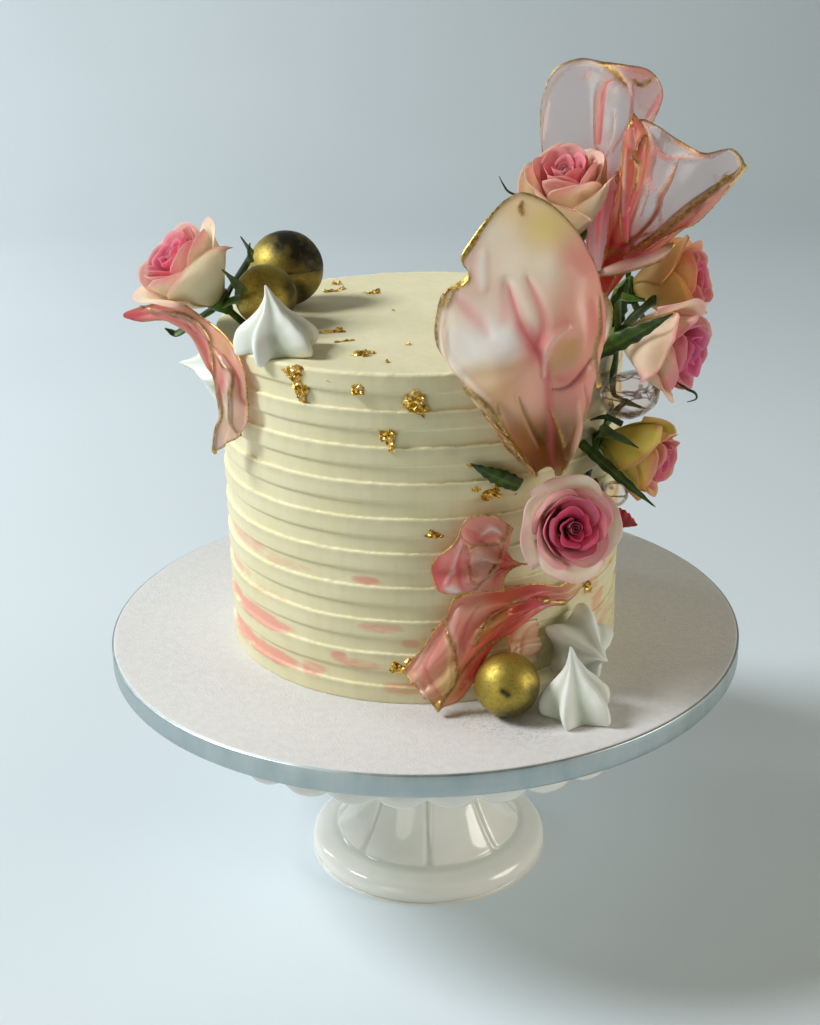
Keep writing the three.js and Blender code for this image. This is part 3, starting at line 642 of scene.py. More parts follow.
def make_tier(material):
    """The tier's raised combed bands, each with a crumbly upper edge, and its scraped top."""
    band, groove = CAKE_RADIUS, CAKE_RADIUS - BAND_DEPTH
    rows = []  # radius, height, and how crumbly it is there
    for k in range(BANDS):
        low, high, end = BAND_PITCH * k, BAND_PITCH * k + BAND_WIDTH, BAND_PITCH * k + BAND_PITCH
        rows += [[band - 0.3, low, 0], [band, low + 0.4, 0]]
        rows += [[band, z, 0] for z in np.linspace(low + 1.4, high - 1.2, 5)]
        if k < BANDS - 1:
            rows += [[band, high - 0.5, 0.6], [band + 0.1, high - 0.05, 1]]
            rows += [[band - 0.55, high + 0.12, 1], [groove + 0.1, high + 0.2, 0.5]]
            rows += [[groove, z, 0] for z in np.linspace(high + 0.8, end - 0.5, 6)]
            rows += [[groove + 0.1, end - 0.1, 0]]
        else:
            rows += [[band - 0.05, high - 0.7, 0.5], [band - 0.35, high - 0.2, 0.9]]
            rows += [[band - 0.9, high + 0.02, 0.9], [band - 2, high + 0.05, 0.4]]
    rows += [[r, CAKE_HEIGHT, 0] for r in np.linspace(band - 4, 4, 20)]
    plain = rings_of([[r, BOARD_TOP + z] for r, z, _ in rows], steps=500)
    edge = np.array(rows)[:, 2:]
    # under marks the band face just below each crumbly lip, where painted shade goes.
    under = np.roll(edge, -2, 0) * (edge == 0)
    top = (plain[..., 2] > CAKE_TOP - 0.1) * 1.0
    soft = fuzz(plain, size=22, seed=1) * 0.22
    crumbs = fuzz(plain, size=1.7, seed=2) + 0.6 * fuzz(plain, size=0.9, seed=3)
    ragged = fuzz(plain * [1, 1, 0.2], size=5, seed=4)
    x, y, z = np.moveaxis(plain, -1, 0)
    radius = np.hypot(x, y)
    out = soft * (1 - top) + edge * (0.16 * crumbs + 0.12 * ragged)
    lift = edge * (0.26 * crumbs + 0.2 * ragged) * (1 - 0.5 * top) + top * 0.25 * fuzz(plain, size=16, seed=5)
    rings = np.stack([x * (1 + out / radius), y * (1 + out / radius), z + lift * smooth(0, 12, radius)], -1)
    rings[0, :, 2] = BOARD_TOP
    amount, warm = smeared(plain)
    paint = np.ones(rings.shape[:2] + (4,))
    # Painted highlight: each band's crumbly upper lip is painted lighter, where the ridge catches the light.
    paint[..., :3] += (0.16 * edge * (1 + 0.8 * crumbs))[..., None]
    # Painted shade: a little darker just below each band's lip.
    paint[..., :3] *= (1 - 0.09 * under * (1 + 0.6 * ragged))[..., None]
    # Painted light: the top is painted lighter and the sides a little darker, for the light falling from
    # above.
    paint[..., :3] *= (0.95 + 0.15 * top)[..., None]
    paint[..., 3] = warm
    shape = Shape()
    shape.turned(rings, [0, 0, BOARD_TOP], [0, 0, CAKE_TOP], paint, amount * (1 - top))
    shape.piece("tier", material, "icing", "cake")


# Gold leaf on the side as degrees from the front, height, half width and half height, with the
# large ones where the solid has them, and on the top as x, y, half length, half width and turn.
SIDE_LEAF = table("""
-34 147 6 3.2, -32.5 141 3.6 5.5, -16 143 2.4 3.2, -2 139.5 5.4 4.4, 0 135 2.4 3, -8.5 123.5 3.4 3.6,
-7.6 118.5 1.3 2, 18 97 4.6 3.2, 14.5 99.5 2.2 1.5, 20 101 1.4 3.4, 2.5 80.5 3 2, 4.5 79.5 1.2 .9,
7 69 4.2 4.6, 9 75 1.4 2.6, 4 35.6 3.6 1.8, -7 18.4 5 3, -3.8 20.6 2.2 2.2, 12 110 1.6 .9, -24 146 1.3 .9,
17.5 84 1 .6, 52.5 38.6 3.2 3, 140 120 4 3, 176 60 3.4 3, -120 132 4.4 3.4, -150 88 2.6 2.4""")
TOP_LEAF = table("""
-24.5 -61 4.6 2.2 20, -23 -64 1.6 1.8 0, -39 -25 6 1.1 8, -36.5 -20.5 2.4 1 50, -33 -41 4.6 .9 22,
-22.5 47 4.2 1.4 -12, -20.5 50.5 2 1 30, -41.5 68 1.6 2.6 70, -44 52 3.6 1.1 10, -38 57 2.2 .9 60,
-5 -48 1.3 .7 0, -14 -74 1.2 .8 40, 12 -22 .9 .6 0, 20 14 1 .6 50, -12 12 .8 .5 0""")


def add_flake(shape, matrix, wide, long, seed):
    """One crumpled flake of gold leaf with a torn outline that stands a little off its place."""
    steps = 17 if max(wide, long) > 2 else 9
    rise = 0.5 + 0.2 * min(wide, long)
    profile = [[0.3, -0.5], [0.98, -0.05], [1, 0.12], [0.86, 0.8], [0.6, 1], [0.3, 0.9]]

    def torn(radius, z, turn):
        ring = np.stack([np.cos(turn), np.sin(turn), 0 * turn], -1)
        ragged = 1 + 0.45 * fuzz(ring, size=0.8, seed=seed) + 0.25 * fuzz(ring, size=0.35, seed=seed + 3)
        radius = radius * np.clip(ragged, 0.25, 1.5)
        spots = np.stack([radius * np.cos(turn) * wide, radius * np.sin(turn) * long, 0 * radius], -1)
        crumple = 1 + 1.3 * fuzz(spots, size=1.3, seed=seed + 7)
        return radius, np.where(z > 0.2, z * rise * np.clip(crumple, 0.1, 2.4), z * 0.5)

    rings = rings_of(profile, steps, torn) * [wide, long, 1]
    shape.turned(rings, [0, 0, -0.5], [0, 0, rise])
    shape.moved(matrix, last=1)


def make_gold_leaf(material):
    shape = Shape()
    for k, (degrees, height, wide, tall) in enumerate(SIDE_LEAF):
        turn = math.radians(degrees)
        axis = Vector((math.sin(turn), -math.cos(turn), 0))
        sideways = Vector((math.cos(turn), math.sin(turn), 0))
        at = Vector(place(0, 0, height)) + axis * (CAKE_RADIUS - 0.2)
        axes = Matrix([sideways, UP, axis]).transposed().to_4x4()
        add_flake(shape, Matrix.Translation(at) @ axes, wide, tall, k)
    for k, (x, y, long, wide, spin) in enumerate(TOP_LEAF, 40):
        add_flake(shape, standing(place(x, y, CAKE_HEIGHT + 0.2), spin=spin), long, wide, k)
    shape.piece("gold_leaf", material, "gold_dust", "cake", flat=True)


# ---------------------------------------------------------------- meringues, balls and bubbles

LOBES = 5
# Where each meringue stands, along which axis, its radius and height, and how far its tip leans.
KISSES = {
    "meringue_top": [place(-60, -54, CAKE_HEIGHT + GAP), (0, 0, 1), 18.5, 29, (-4.5, -1)],
    "meringue_side": [place(-90.1, 30.5, 118), (-0.945, 0.32, 0.05), 17, 30, (0, 0)],
    "meringue_back": [place(66.5, -71, 19), (0.42, -0.9, 0.1), 17, 29, (0, 0)],
    "meringue_front": [place(65.5, -104.5, GAP), (0, 0, 1), 16, 33.5, (-4, -1.5)],
}
SAG = {"meringue_top": 3}  # how far a meringue's side hangs down over the tier's edge


def make_kiss(name, material, at, axis, radius, height, lean):
    """A piped kiss: ridges with hollow flanks, drawn out to a fine tip that leans over."""
    outline = table("""
        .3 .004, .84 0, .97 .05, 1 .13, .98 .22, .88 .33, .7 .43, .52 .52, .35 .62, .22 .72, .13 .82,
        .07 .92, .03 .98""")
    share = np.linspace(0, 1, 58)
    profile = along(outline, share)
    share = share[:, None]
    crease = None

    def lobed(r, z, turn):
        nonlocal crease
        t = smooth(0.1, 1, share)
        away = np.abs(np.cos(LOBES * turn / 2 + 0.9 * share + 0.25 * np.sin(turn + at[1])))
        crease = (1 - 0.4 * t) * (np.hypot(away, 0.12) - 0.12) / 0.887
        skew = 1 + 0.05 * np.sin(turn * 2 + at[0]) + 0.04 * np.sin(turn * 3 + at[1])
        return r * skew * (1.07 - 0.4 * crease * smooth(0, 0.12, share)), z

    rings = rings_of(profile, steps=160, vary=lobed) * [radius, radius, height]
    rings += (rings[..., 2:] / height) ** 2 * [*lean, 0]
    rings += 0.2 * fuzz(rings, size=6, seed=int(height))[..., None]
    rings[..., 2] = np.maximum(rings[..., 2], 0)
    shape = Shape()
    # Painted shade: value darkens the creases between the ridges.
    shape.turned(rings, [0, 0, 0], [*lean, height * 0.995], value=smooth(0.35, 0.9, crease))
    shape.moved(standing(at, axis))
    x, y, z = shape.points[0].T
    over = smooth(CAKE_RADIUS - 1, CAKE_RADIUS + 4, np.hypot(x, y))
    z -= SAG.get(name, 0) * over * smooth(at[2] + 11, at[2], z)
    shape.piece(f"{name}_kiss", material, "meringue", name)


# The balls, each with x, y, height and radius.
BALLS = {
    "gold_ball_large": (-62.5, 26, CAKE_HEIGHT, 17.6),
    "gold_ball_small": (-69, -12, CAKE_HEIGHT, 13.9),
    "gold_ball_base": (35, -102.6, 0, 14),
}
# Where each ball is painted dark, as width, strength and the line on the picture: mostly painted shade and a
# painted dark reflection on its side away from the light, and the thin dark line of its seam.
PAINTED_SHADE_AND_SEAM = {
    "gold_ball_large": """
38 1: 285,236 296,246 312,258
16 .9: 300,288 304,300
2.5 1: 232,270 276,274 320,270""",
    "gold_ball_small": "16 .8: 290,285 296,305 288,318",
    "gold_ball_base": """
6 1: 503,691 508,695
12 .7: 500,718 528,706 534,690""",
}


def make_ball(name, material, x, y, height, radius):
    """A dusted chocolate ball, joined from two halves, with flats and patches of painted shade."""
    polar = np.linspace(math.pi - 0.03, 0.03, 72)
    profile = np.stack([radius * np.sin(polar), radius * np.cos(polar)], -1)

    def joined(r, z, turn):
        spots = np.stack([r * np.cos(turn), r * np.sin(turn), z], -1)
        scale = 1 + (0.1 * fuzz(spots, size=7, seed=1) + 0.03 * fuzz(spots, size=1.5, seed=2)) / radius
        seam = 0.22 * smooth(0.5, 0, np.abs(z + 0.04 * radius)) / radius
        return r * (scale - seam), z * scale

    rings = rings_of(profile, steps=96, vary=joined)
    at = place(x, y, height + radius + GAP)
    spots = drawn(rings + at)
    # worn here is painted dark: mostly painted shade and a painted dark reflection on the shaded side, and
    # the seam line.
    worn = 0 * spots[..., 0]
    for (width, strength), line in drawing(PAINTED_SHADE_AND_SEAM[name]):
        worn = np.maximum(worn, float(strength) * near(spots, line, float(width)))
    worn = worn * (1 + 0.15 * fuzz(rings, size=3, seed=9))
    shape = Shape()
    shape.turned(rings, [0, 0, -radius], [0, 0, radius], value=worn)
    shape.moved(Matrix.Translation(Vector(at)))
    shape.piece(f"{name}_dusted", material, "gold_dust", name)


# The bubbles: degrees from the front, height, radius, length and tilt in degrees.
BUBBLES = {"bubble_large": (58, 129, 10.4, 26, 14), "bubble_small": (60, 81, 6, 12, 0)}


def make_bubble(name, material, turn, height, radius, length, tilt):
    """A blown sugar bubble: an outer and an inner skin, uneven as blown sugar is."""
    angle = math.radians(turn)
    reach = CAKE_RADIUS + length / 2
    at = place(reach * math.sin(angle), -reach * math.cos(angle), height)
    polar = np.linspace(math.pi - 0.04, 0.04, 48)
    shape = Shape()
    for skin in (1.0, 0.93):
        profile = np.stack([skin * radius * np.sin(polar), skin * radius * np.cos(polar)], -1)
        rings = rings_of(profile, steps=72)
        rings = rings * (1 + 0.018 * fuzz(rings, size=4, seed=5)[..., None])
        gilded = smooth(0.78, 0.97, rings[..., 0] / radius) * 0.6
        shape.turned(rings, [0, 0, -skin * radius], [0, 0, skin * radius], value=gilded)
    half = len(shape.faces) // 2
    shape.faces[half:] = [face[::-1] for face in shape.faces[half:]]
    stretch = Matrix.Diagonal((length / (2 * radius), 1, 1, 1))
    lean = Matrix.Rotation(-math.radians(tilt), 4, "Y")
    shape.moved(Matrix.Translation(Vector(at)) @ lean @ stretch)
    for points in shape.points:  # none of it goes into the cake
        apart = np.hypot(points[:, 0], points[:, 1])
        points[:, :2] *= np.maximum(1, (CAKE_RADIUS + GAP) / np.maximum(apart, 1))[:, None]
    shape.piece(f"{name}_sugar", material, "bubble", name)


# ---------------------------------------------------------------- roses

# Where each rose sits and opens, as in the solids; its sepals, as "degrees rise reach"; and the
# colours of its heart, petals, outer petals, lips and petal feet.
ROSES = {
    "rose_left": dict(
        at=place(-91, -13, 164), axis=(-0.62, -0.26, 0.75), radius=22.5, height=34, open=0.45,
        spin=20, sepals="-70 20 2, 20 12 2, 150 6 3", stem=place(-79, -9, CAKE_HEIGHT),
        hues="#ff8cb4 #fff4de #fdf8e2 #fdacba #e2dca2",
    ),
    "rose_top": dict(
        at=place(66.5, -36.5, 196.5), axis=(-0.17, -0.36, 0.9), radius=19.5, height=35, open=0.4,
        spin=50, sepals="40 6 2, 145 8 9, 225 2 2", stem=place(57, -34, CAKE_HEIGHT),
        hues="#fc9cb2 #fff0e0 #fff4dc #fcb8b8 #ece0aa",
    ),
    "rose_upper": dict(
        at=place(96, -17, 166.4), axis=(0.93, -0.3, 0.2), radius=18.5, height=33, open=0.3,
        spin=0, sepals="10 20 2, 130 16 2, 250 12 2", stem=place(84, -12, CAKE_HEIGHT),
        hues="#f06aa0 #fce2c4 #f8dc98 #f492a0 #e0c470",
    ),
    "rose_middle": dict(
        at=place(88.3, -47.4, 152), axis=(0.84, -0.5, -0.12), radius=20.5, height=35, open=0.4,
        spin=30, sepals="60 22 2, 150 15 2, 290 14 2", stem=place(76, -44, CAKE_HEIGHT),
        hues="#f26eb6 #fce0d0 #fdeed8 #f492b8 #e2d092",
    ),
    "rose_lower": dict(
        at=place(80, -51.5, 106.6), axis=(0.85, -0.45, -0.25), radius=17.5, height=31.5, open=0.3,
        spin=10, sepals="-160 24 2, -60 20 3, 90 12 2", stem=place(73, -46, 108),
        hues="#e8508e #faeab4 #ece278 #f8a6bc #b8c050",
    ),
    "rose_front": dict(
        at=place(58.5, -82, 79), axis=(0.24, -0.92, 0.3), radius=19.5, height=23, open=1,
        spin=0, sepals="60 5 2, 150 5 1, 330 6 1", stem=place(55.5, -70.5, 75.5),
        hues="#e63078 #fed6e0 #fffaee #fb94b2 #f4ecb4",
    ),
}  # fmt: skip
# The fine curled ends of some sepals, as depth, thickness and the line on the picture.
TENDRILS = {
    "rose_top": "-44 .55: 522,197 509,192 503,184 499,176",
    "rose_left": """
-32 .6: 222,333 212,336 204,334 199,330
-22 1.1: 252,262 249,252 250,243""",
    "rose_middle": "-62 .7: 668,372 684,387 695,393 696,399 687,402",
    "rose_lower": "-66 1.4: 622,424 606,417 590,420",
}
PETAL = 0.5  # thickness of petals, sepals and leaves
OPENING = 4  # petals in each opening ring
FURLED = 8  # petals round the heart
HIP = 9.2  # length of the hip below a rose


def petal_grid(
    turn, spread, height, radius, foot, flare, droop, tuck, roll, wave, point, edge, seed, size=(18, 17)
):  # fmt: skip
    """One petal that opens along +Z: columns run across it, rows from its foot to its lip.

    One side is tucked under the next petal. The free side opens as far as edge says.
    """
    v, side = spans(*size)
    wide = spread * (0.4 + 0.6 * np.sin(math.pi * (0.1 + 0.55 * v)))
    lip = smooth(0.6, 1, v)
    belly = foot + (radius - foot) * np.sin(math.pi / 2 * np.minimum(1, 1.3 * v))
    free = (1 - (1 - edge) * side**2) * smooth(-1.1, -0.35, side)
    r = belly + flare * lip * free + tuck * side * smooth(0, 0.4, v)
    frill = np.sin(4.3 * side + 2.1 * seed) + 0.6 * np.sin(9 * side + 1.3 * seed)
    r = r + (wave * lip * frill + roll * smooth(0.78, 1, v) ** 1.5) * free
    z = height * v * (1 - 0.38 * np.abs(side) ** 3 * smooth(0.15, 1, v)) - droop * lip**2
    z = z + 0.6 * wave * lip * np.cos(5.1 * side + seed) - 0.45 * roll * smooth(0.85, 1, v) ** 2
    z = z + point * smooth(0.75, 1, v) * np.clip(1 - 2.6 * np.abs(side), 0, 1) ** 1.5
    return round_points(r, turn + wide * side, z), v + 0 * side, side + 0 * v


def petal_paint(v, side, ring, hues, shade, seed):
    """The colours of a petal's outer and inner faces. ring runs from 0 in the heart to 1 outside."""
    heart, body, outer, lip, foot = hues
    base = blend(body, outer, smooth(0.55, 1, ring)) * shade
    base = blend(heart, base, smooth(0.3, 0.72, ring))
    start = 0.45 + 0.42 * ring
    flush = smooth(start, 1.02, v + 0.1 * side**2 + 0.05 * np.sin(5 * side + seed))
    flush = np.maximum(flush, 0.6 * smooth(0.75, 1, np.abs(side)) * smooth(0.3, 0.7, v))
    outside = blend(base, lip, flush * (0.95 - 0.3 * ring))
    outside = blend(foot, outside, smooth(0.02, 0.42, v + 0.08 * side**2))
    inside = blend(base, blend(lip, heart, 0.8 * (1 - ring)), 0.6 * (1 - ring) + 0.3 * flush)
    return outside, inside


def make_rose(name, material, at, axis, radius, height, open, spin, hues, **_):
    """A spiral heart and furled petals, inside three rings of opening ones."""
    hues = [linear(hue) for hue in hues.split()]
    shape = Shape()
    seed = len(name) + int(radius)

    flare, droop = 0.4 + open, 0.5 + open
    rings = [  # first turn, radius, height, spread, flare, droop, roll, point, edge, place in the rose
        (0.0, 0.84, 0.9 - 0.12 * open, 1.08, 0.12 * flare, 0.05 * droop, 0.1, 0.05, 0.9, 1),
        (0.8, 0.7, 0.97 - 0.09 * open, 1.12, 0.09 * flare, 0.03 * droop, 0.06, 0.03, 0.3, 0.8),
        (0.3, 0.56, 1.0 - 0.06 * open, 1.15, 0.07 * flare, 0.01, 0.05, 0.02, 0.2, 0.6),
    ]
    for first, wide, tall, spread, flare, droop, roll, point, edge, ring in rings:
        for i in range(OPENING):
            seed += 1
            vary = math.sin(12.9898 * seed)
            grid, v, side = petal_grid(
                turn=2 * math.pi * i / OPENING + first, spread=spread, height=(tall + 0.03 * vary) * height,
                radius=(wide + 0.012 * (i % 3)) * radius, foot=0.22 * radius, flare=flare * radius,
                droop=droop * height, tuck=0.05 * radius, roll=roll * radius * (1 + 0.5 * vary),
                wave=0.02 * radius, point=point * height, edge=edge, seed=seed,
            )  # fmt: skip
            paint = petal_paint(v, side, ring, hues, 1 + 0.06 * vary, seed)
            shape.sheet(grid, PETAL, paint, 0.6 * smooth(0.55, 0.95, v), thin_edge=0.45)
    for i in range(FURLED):
        seed += 1
        t = 1 - 0.75 * i / (FURLED - 1)
        grid, v, side = petal_grid(
            turn=2.4 * i + 1, spread=1.15 + 0.75 * (1 - t),
            radius=(0.07 + 0.4 * t * (1 - 0.3 * open)) * radius, foot=(0.05 + 0.1 * t) * radius,
            height=(0.9 + 0.1 * t**0.6 - 0.05 * open + 0.02 * math.sin(seed)) * height,
            flare=(-0.04 + 0.06 * t + (0.04 + 0.14 * t) * open) * radius, droop=0,
            tuck=0.05 * radius * (0.6 + 0.6 * t), roll=(0.03 + 0.05 * t) * (0.7 + 0.6 * open) * radius,
            wave=0.03 * radius, point=0, edge=0.5, seed=seed, size=(14, 23),
        )  # fmt: skip
        shape.sheet(grid, PETAL, petal_paint(v, side, 0.5 * t, hues, 1, seed), thin_edge=0.45)
    v, side = spans(12, 90)
    wound = (side + 1) / 2  # from the inner end of the heart's spiral to the outer one
    angle = 5 * math.pi * wound
    r = (0.02 + 0.13 * wound) * radius * (1 + 0.3 * (v - 0.6) ** 2)
    z = height * (0.3 + (0.55 + 0.05 * wound + 0.02 * np.sin(2 * angle)) * v)
    grid = round_points(r, angle, z)
    # The spiral heart is painted darker the more open the rose is: a deeper crimson, and painted shade down
    # in its open centre.
    paint = [face * (1 - 0.45 * open) for face in petal_paint(v + 0 * wound, 0 * z, 0, hues, 1, seed)]
    shape.sheet(grid, PETAL, paint, thin_edge=0.45)
    shape.moved(standing(at, axis, spin))
    shape.piece(f"{name}_bloom", material, "petal", name)


def add_tube(shape, points, radii, steps=10, value=0.0, rows=24):
    """A closed round tube along a smooth line, as thick at each point as radii says."""
    t = np.linspace(0, 1, rows)
    middle = along(points, t)
    thick = along(np.asarray(radii, float)[:, None], t)[:, 0]
    ahead = np.gradient(middle, axis=0)
    ahead /= np.linalg.norm(ahead, axis=1, keepdims=True)
    aside = np.cross(ahead, [0.31, 0.22, 0.925])
    aside /= np.linalg.norm(aside, axis=1, keepdims=True)
    other = np.cross(ahead, aside)
    turn = np.linspace(0, 2 * math.pi, steps, endpoint=False)[None, :, None]
    around = np.cos(turn) * aside[:, None] + np.sin(turn) * other[:, None]
    rings = middle[:, None] + thick[:, None, None] * around
    shape.turned(rings, middle[0], middle[-1], value=np.full(rings.shape[:2], value))


def make_calyx(name, material, at, axis, radius, spin, sepals, stem, **_):
    """The hip below a rose, its stem down to the cake and its pointed sepals."""
    shape = Shape()
    outline = [[0.3, -HIP], [2, -9], [3.1, -6.5], [4.4, -4], [5.4, -1.6], [0.27 * radius, -0.4]]
    profile = along(outline, np.linspace(0, 1, 24))
    rings = rings_of(profile, 40, lambda r, z, turn: (r * (1 + 0.04 * np.cos(5 * turn)), z))
    shape.turned(rings, [0, 0, -HIP], [0, 0, -0.3], value=0.55)
    v, side = spans(26, 9)
    for degrees, rise, reach in table(sepals):
        half = 4.2 * np.sin(math.pi * (0.16 + 0.8 * v)) ** 0.9 * (1 - 0.62 * v)
        across = side * half * (1 + 0.12 * np.sin(21 * v + degrees))
        out = 2.5 + 1.08 * radius * smooth(0, 0.55, v) + reach * v + 0 * side
        up = -3.4 + rise * v**1.6 + 0.6 * np.sin(9 * v) - 0.1 * across**2
        across = across + 1.6 * np.sin(3.3 * v + degrees) * v
        cos, sin = math.cos(math.radians(degrees)), math.sin(math.radians(degrees))
        grid = np.stack([out * cos - across * sin, out * sin + across * cos, up], -1)
        young = 0.02 + 0.22 * (1 - v) + 0.2 * side**2
        shape.sheet(grid, PETAL, value=young, thin_edge=0.4)
    hip = standing(at, axis, spin)
    shape.moved(hip)
    root = np.array(hip @ Vector((0, 0, -8)))
    add_tube(shape, [root, (root + stem) / 2, stem], [1.7, 1.6, 1.6], value=0.45)
    if name in TENDRILS:
        for words, line in drawing(TENDRILS[name]):
            depth, thick = map(float, words)
            thickness = [thick, thick * 0.8, 0.25 * thick]
            add_tube(shape, [lifted(x, y, depth) for x, y in line], thickness, steps=8)
    shape.piece(f"{name}_sepals", material, "sepal", f"{name}_calyx")


# ---------------------------------------------------------------- sails

FILM = 0.55  # thickness of a sail


def fan_grid(foot, width, rim, folds, ripple, bow=0.0, neck=None, notch=None, swells=(), grid=(120, 90)):
    """A sail gathered at its foot: columns end along its rim, rows run from the foot to it.

    A notch is a spot of the picture where the rim is pushed in, how far, and over what width.
    A swell is a spot where the sail bulges, how wide and tall it is there, and how far it bulges.
    """
    u = np.linspace(0, 1, grid[0])[None, :]
    t = 0.04 + 0.96 * np.linspace(0, 1, grid[1])[:, None]
    tip = along(table(rim), u[0])[None] + [0, 0, BOARD_TOP]
    start = foot + np.stack([(2 * u - 1) * width, 0 * u, 0 * u], -1)
    fold = ripple * np.sin(2 * math.pi * folds * u) * np.sin(2.7 * t) * smooth(0.1, 0.6, t)
    bend = (foot + tip) / 2 if neck is None else neck + 0 * tip
    t3 = t[..., None]
    points = start * (1 - t3) ** 2 + bend * 2 * t3 * (1 - t3) + tip * t3**2
    points[..., 1] -= fold + bow * np.sin(math.pi * t)
    if notch:
        x, y, depth, wide = notch
        apart = np.linalg.norm(drawn(points) - [x, y], axis=-1)
        points[..., 0] += depth * np.exp(-((apart / wide) ** 2))
    spots = drawn(points)
    for x, y, wide, tall, rise in swells:
        off = (spots - [x, y]) / [wide, tall]
        points[..., 1] -= rise * np.exp(-(off**2).sum(-1)) * np.sin(math.pi * t) ** 0.5
    return points


def drape_grid(rows, folds, ripple, cup, grid=(60, 100)):
    """A draped sail between two long edges that swells away from the cake between them."""
    u = np.linspace(0, 1, grid[0])[None, :]
    v = np.linspace(0, 1, grid[1])
    both = along(table(rows), v)
    a, b = both[:, None, :3] + [0, 0, BOARD_TOP], both[:, None, 3:] + [0, 0, BOARD_TOP]
    side = 2 * u - 1
    lift = cup * (1 - side**2) + ripple * np.sin(math.pi * folds * side) * smooth(0, 0.3, v)[:, None]
    out = a + b
    out[..., 2] = 0
    out /= np.linalg.norm(out, axis=-1, keepdims=True)
    return a + (b - a) * u[..., None] + out * lift[..., None]


def from_edges(grid, foot_too):
    """Each point's distance from the nearest free edge of a sheet."""
    down = np.linalg.norm(np.diff(grid, axis=0), axis=-1)
    along_rows = np.concatenate([np.zeros((1, grid.shape[1])), np.cumsum(down, 0)])
    across = np.linalg.norm(np.diff(grid, axis=1), axis=-1)
    along_columns = np.concatenate([np.zeros((grid.shape[0], 1)), np.cumsum(across, 1)], 1)
    apart = np.minimum(along_rows[-1:] - along_rows, along_columns)
    apart = np.minimum(apart, along_columns[:, -1:] - along_columns)
    return np.minimum(apart, along_rows) if foot_too else apart


PALETTE = dict(
    pearl="#fff8ec", cream="#faecac", blush="#fccfbc", pink="#fab4ac", salmon="#f0937c", rose="#f07080",
    red="#de4438", wine="#93323a", amber="#d08a3c", umber="#6f4c26", smoke="#fbeeec", moss="#a89c6c",
    white="#ffffff", peach="#fcd4a8", shell="#fee6dc", tan="#ecc494", pale="#feecc8", coral="#fa8868",
)  # fmt: skip
PALETTE = {name: linear(code) for name, code in PALETTE.items()}
TONE_REACH = 12  # how far a tone holds before it blends with its neighbours, on the picture

